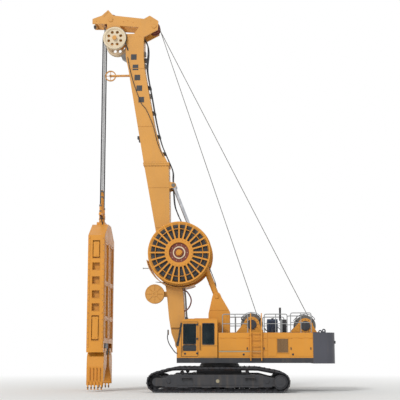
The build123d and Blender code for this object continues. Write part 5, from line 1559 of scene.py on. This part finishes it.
def grab_details():
    """Wear bars, window frames, flaps, bolt rows, swivel, hydraulic lines and inner plates of the grab."""
    bars = Shape()
    bolts = Shape()
    flaps = Shape()
    inside = Shape()
    for side in SIDES:
        y = side * GRAB_HALF_Y
        for x_side in SIDES:
            x = GRAB_X + x_side * (GRAB_HALF_X - 0.055)
            face = y + side * 0.014
            for z0, z1 in ((1.85, 3.3), (3.32, 5.35), (5.37, 6.60)):
                bars.box((x - 0.035, y, z0), (x + 0.035, face, z1))
            bolts.bolt_row((x, face, 1.95), (x, face, 6.50), "y", 18, 0.013, side * 0.010)
        for z0, z1 in TALL_WINDOWS + SMALL_WINDOWS:
            for a0, a1, b0, b1 in ((-0.178, 0.178, z0 - 0.024, z0), (-0.178, 0.178, z1, z1 + 0.024),
                                   (-0.178, -0.155, z0, z1), (0.155, 0.178, z0, z1)):
                bars.box((GRAB_X + a0, y, b0), (GRAB_X + a1, y + side * 0.010, b1))
        for z0, z1 in TALL_WINDOWS:
            flaps.box((GRAB_X - 0.125, y - side * 0.045, z0 + 0.05),
                      (GRAB_X + 0.125, y + side * 0.006, z1 - 0.05))
            for z in (z0 + 0.12, z1 - 0.12):
                place = Vector((GRAB_X, y + side * 0.006, z))
                flaps.disc(place, "y", 0.035, 0.0, side * 0.012, sides=6)
                pin_y = y - side * 0.022
                flaps.tube([(GRAB_X - 0.16, pin_y, z), (GRAB_X + 0.16, pin_y, z)], 0.018)
        inside.box((GRAB_X - 0.31, y - side * 0.17, 2.12), (GRAB_X + 0.31, y - side * 0.15, 6.52))
        x = GRAB_X + side * (GRAB_HALF_X - 0.05)
        inside.box((x, -1.12, 2.10), (x - side * 0.014, 1.12, 6.42))
    piece("grab_wear_bars", bars, "grab", "yellow_paint", bevel=0.004)
    piece("grab_wear_bolts", bolts, "grab", "bare_steel")
    piece("steering_flaps", flaps, "grab", "yellow_paint", bevel=0.004)
    piece("grab_inner_plates", inside, "grab", "yellow_paint")
    wide = Shape()
    for x_side in SIDES:
        x = GRAB_X + x_side * GRAB_HALF_X
        face = x + x_side * 0.014
        for y in (-1.19, -0.24, 0.24, 1.19):
            for z0, z1 in ((2.20, 3.06), (3.14, 4.56), (4.64, 6.36)):
                wide.box((x, y - 0.035, z0), (face, y + 0.035, z1))
        for z in (2.15, 3.10, 4.60, 6.42):
            wide.box((x, -1.23, z - 0.03), (face, 1.23, z + 0.03))
    piece("grab_side_bars", wide, "grab", "yellow_paint", bevel=0.005)
    head = Shape()
    centre = Vector((GRAB_X, 0, 7.37))
    head.bolts(centre, "z", 0.158, 10, 0.016, 0.018)
    for z in (7.40, 7.55):
        head.disc(Vector((GRAB_X, 0, z)), "z", 0.142, -0.018, 0.018, sides=40, edge=0.004)
    for side in SIDES:
        for x in (-0.045, 0.045):
            gusset = [(side * 0.12, 7.56), (side * 0.12, 7.68), (side * 0.42, 7.68)]
            head.prism(gusset, "x", GRAB_X + x - 0.010, GRAB_X + x + 0.010)
    piece("grab_swivel_trim", head, "grab", "dark_paint")
    lines = Shape()
    for side in SIDES:
        bends = ((0, HOSE_Y, 7.69), (0.02, 0.49, 7.56), (0.06, 0.44, 7.42), (0.08, 0.36, 7.32),
                 (0.08, 0.345, 7.22))
        lines.tube(smooth_path([(GRAB_X + x, side * y, z) for x, y, z in bends], 6), 0.022, sides=10)
    piece("grab_hoses", lines, "grab", "hose_rubber")


def jaw_details(name, joint, side, body):
    """Pin caps and worn points of the teeth of one jaw."""
    hinge = pivot(joint)
    caps = Shape()
    for x_side in SIDES:
        place = Vector((GRAB_X + x_side * GRAB_HALF_X, hinge.y, hinge.z))
        caps.disc(place, "x", 0.095, 0.0, x_side * 0.016, sides=32, edge=0.005)
        caps.bolts(place + Vector((x_side * 0.016, 0, 0)), "x", 0.06, 4, 0.012, x_side * 0.008)
    piece(name + "_pin_caps", caps, body, "bare_steel")
    points = Shape()
    turn = math.radians(JAW_OPEN)
    count = 5 if side < 0 else 4
    for number in range(count):
        x = GRAB_X + (number - (count - 1) / 2) * 0.144
        begin = len(points.points)
        rings = []
        for distance, half, thick in ((-0.08, 0.036, 0.050), (-0.15, 0.024, 0.044), (-0.192, 0.014, 0.022)):
            y0, y1 = sorted((-side * 0.003, side * thick))
            rings.append([(x - half, y0, distance), (x + half, y0, distance), (x + half, y1, distance),
                          (x - half, y1, distance)])
        points.loft(rings)
        place_tooth(points, begin, side, turn, side * -0.395, -1.52, hinge)
    piece(name + "_tooth_points", points, body, "bare_steel", material=TOOTH_STEEL, bevel=0.004)


def place_tooth(shape, begin, side, turn, lip_y, lip_z, hinge):
    """Sets tooth points, made at the origin, on the lip of the open jaw."""
    lower = Matrix.Rotation(-side * turn, 3, "X")
    opened = Matrix.Rotation(side * turn, 3, "X")
    for index in range(begin, len(shape.points)):
        x, y, z = shape.points[index]
        local = lower @ Vector((0, y, z)) + Vector((0, lip_y, lip_z))
        local = opened @ local
        shape.points[index] = Vector((x, hinge.y + local.y, hinge.z + local.z))


grab_details()
jaw_details("near_jaw", "jaw_near_close", LEFT, "jaw_near")
jaw_details("far_jaw", "jaw_far_close", RIGHT, "jaw_far")


def roller_details():
    """Bolted caps on the rollers and idlers."""
    caps = Shape()
    for side in SIDES:
        for face in (side * 1.96, side * 1.64):
            for number in range(9):
                place = at(-2.0 + 0.5 * number, face, 0.253)
                caps.disc(place, "y", 0.05, 0.0, side * 0.008, sides=16)
    piece("roller_caps", caps, "undercarriage", "track_steel")


roller_details()


# Camera, light and floor

PHOTO_SIZE = 400
PHOTO_TOP = 11.0
PHOTO_GROUND = 393.0
OBJECT_CENTRE_PX = 209.0
EYE_HEIGHT = 1.6
CAMERA_X = 1.54
CAMERA_DISTANCE = 38.0
CAMERA_SHIFT = 0.07
SENSOR = 36.0


def aim_camera():
    """Camera at a person's eye height that frames the machine as the photograph does."""
    low, high = Vector(cad_box[0]), Vector(cad_box[1])
    above = math.atan((high.z - EYE_HEIGHT) / CAMERA_DISTANCE)
    below = math.atan(EYE_HEIGHT / (CAMERA_DISTANCE + low.y))
    principal = PHOTO_SIZE * (0.5 + CAMERA_SHIFT)
    top = principal - PHOTO_TOP
    bottom = PHOTO_GROUND - principal
    tilt_low, tilt_high = 0.0, math.radians(25)
    for _ in range(60):
        tilt = (tilt_low + tilt_high) / 2
        if top / math.tan(above - tilt) < bottom / math.tan(below + tilt):
            tilt_low = tilt
        else:
            tilt_high = tilt
    focal = top / math.tan(above - tilt)
    centre = (low.x + high.x) / 2
    aside = (PHOTO_SIZE / 2 - OBJECT_CENTRE_PX) / focal
    turn = math.atan((CAMERA_X - centre) / CAMERA_DISTANCE) - aside
    data = bpy.data.cameras.new("camera")
    data.sensor_width = SENSOR
    data.lens = focal / PHOTO_SIZE * SENSOR
    data.shift_y = CAMERA_SHIFT
    data.clip_end = 400
    camera = bpy.data.objects.new("camera", data)
    camera.location = (CAMERA_X, -CAMERA_DISTANCE, EYE_HEIGHT)
    camera.rotation_euler = (math.pi / 2 + tilt, 0, turn)
    bpy.context.scene.collection.objects.link(camera)
    bpy.context.scene.camera = camera


def light_and_floor():
    """Soft white surroundings, one broad sun from the front left, and a pale floor."""
    world = bpy.data.worlds.new("studio")
    bpy.context.scene.world = world
    world.use_nodes = True
    tree = world.node_tree
    tree.nodes.clear()
    path = tree.nodes.new("ShaderNodeLightPath")
    seen, either = (tree.nodes.new("ShaderNodeMath") for _ in range(2))
    for node in (seen, either):
        node.operation = "MAXIMUM"
    for source, target in ((path.outputs["Is Camera Ray"], either.inputs[0]),
                           (path.outputs["Is Glossy Ray"], either.inputs[1]),
                           (either.outputs[0], seen.inputs[0]),
                           (path.outputs["Is Transmission Ray"], seen.inputs[1])):
        tree.links.new(source, target)
    ambient = tree.nodes.new("ShaderNodeBackground")
    ambient.inputs["Strength"].default_value = 0.62
    white = tree.nodes.new("ShaderNodeBackground")
    mix = tree.nodes.new("ShaderNodeMixShader")
    out = tree.nodes.new("ShaderNodeOutputWorld")
    for background in (ambient, white):
        background.inputs["Color"].default_value = (1, 1, 1, 1)
    tree.links.new(seen.outputs[0], mix.inputs[0])
    tree.links.new(ambient.outputs[0], mix.inputs[1])
    tree.links.new(white.outputs[0], mix.inputs[2])
    tree.links.new(mix.outputs[0], out.inputs[0])

    sun = bpy.data.lights.new("sun", "SUN")
    sun.energy = 1.65
    sun.angle = math.radians(14)
    sun_object = bpy.data.objects.new("sun", sun)
    sun_object.rotation_euler = Vector((-0.45, -0.75, 0.62)).to_track_quat("Z", "Y").to_euler()
    bpy.context.scene.collection.objects.link(sun_object)

    floor_shape = Shape().box((-150, -150, -0.02), (150, 150, 0.0))
    mesh = bpy.data.meshes.new("floor")
    mesh.from_pydata([tuple(point) for point in floor_shape.points], [], floor_shape.faces)
    floor = bpy.data.objects.new("floor", mesh)
    bpy.context.scene.collection.objects.link(floor)
    s = Surface("floor")
    far = s.node("ShaderNodeVectorMath", {0: s.place}, operation="LENGTH")
    s.finish(colour(226, 226, 224), 0.8)
    glow = s.node("ShaderNodeEmission", {"Strength": 1.0})
    blend = s.node("ShaderNodeMixShader", {0: s.spread(far.outputs["Value"], 7.0, 30.0)})
    s.tree.links.new(s.shader.outputs[0], blend.inputs[1])
    s.tree.links.new(glow.outputs[0], blend.inputs[2])
    out = s.tree.nodes["Material Output"]
    s.tree.links.new(blend.outputs[0], out.inputs["Surface"])
    mesh.materials.append(s.material)


aim_camera()
light_and_floor()
bpy.context.scene.view_settings.view_transform = "Standard"
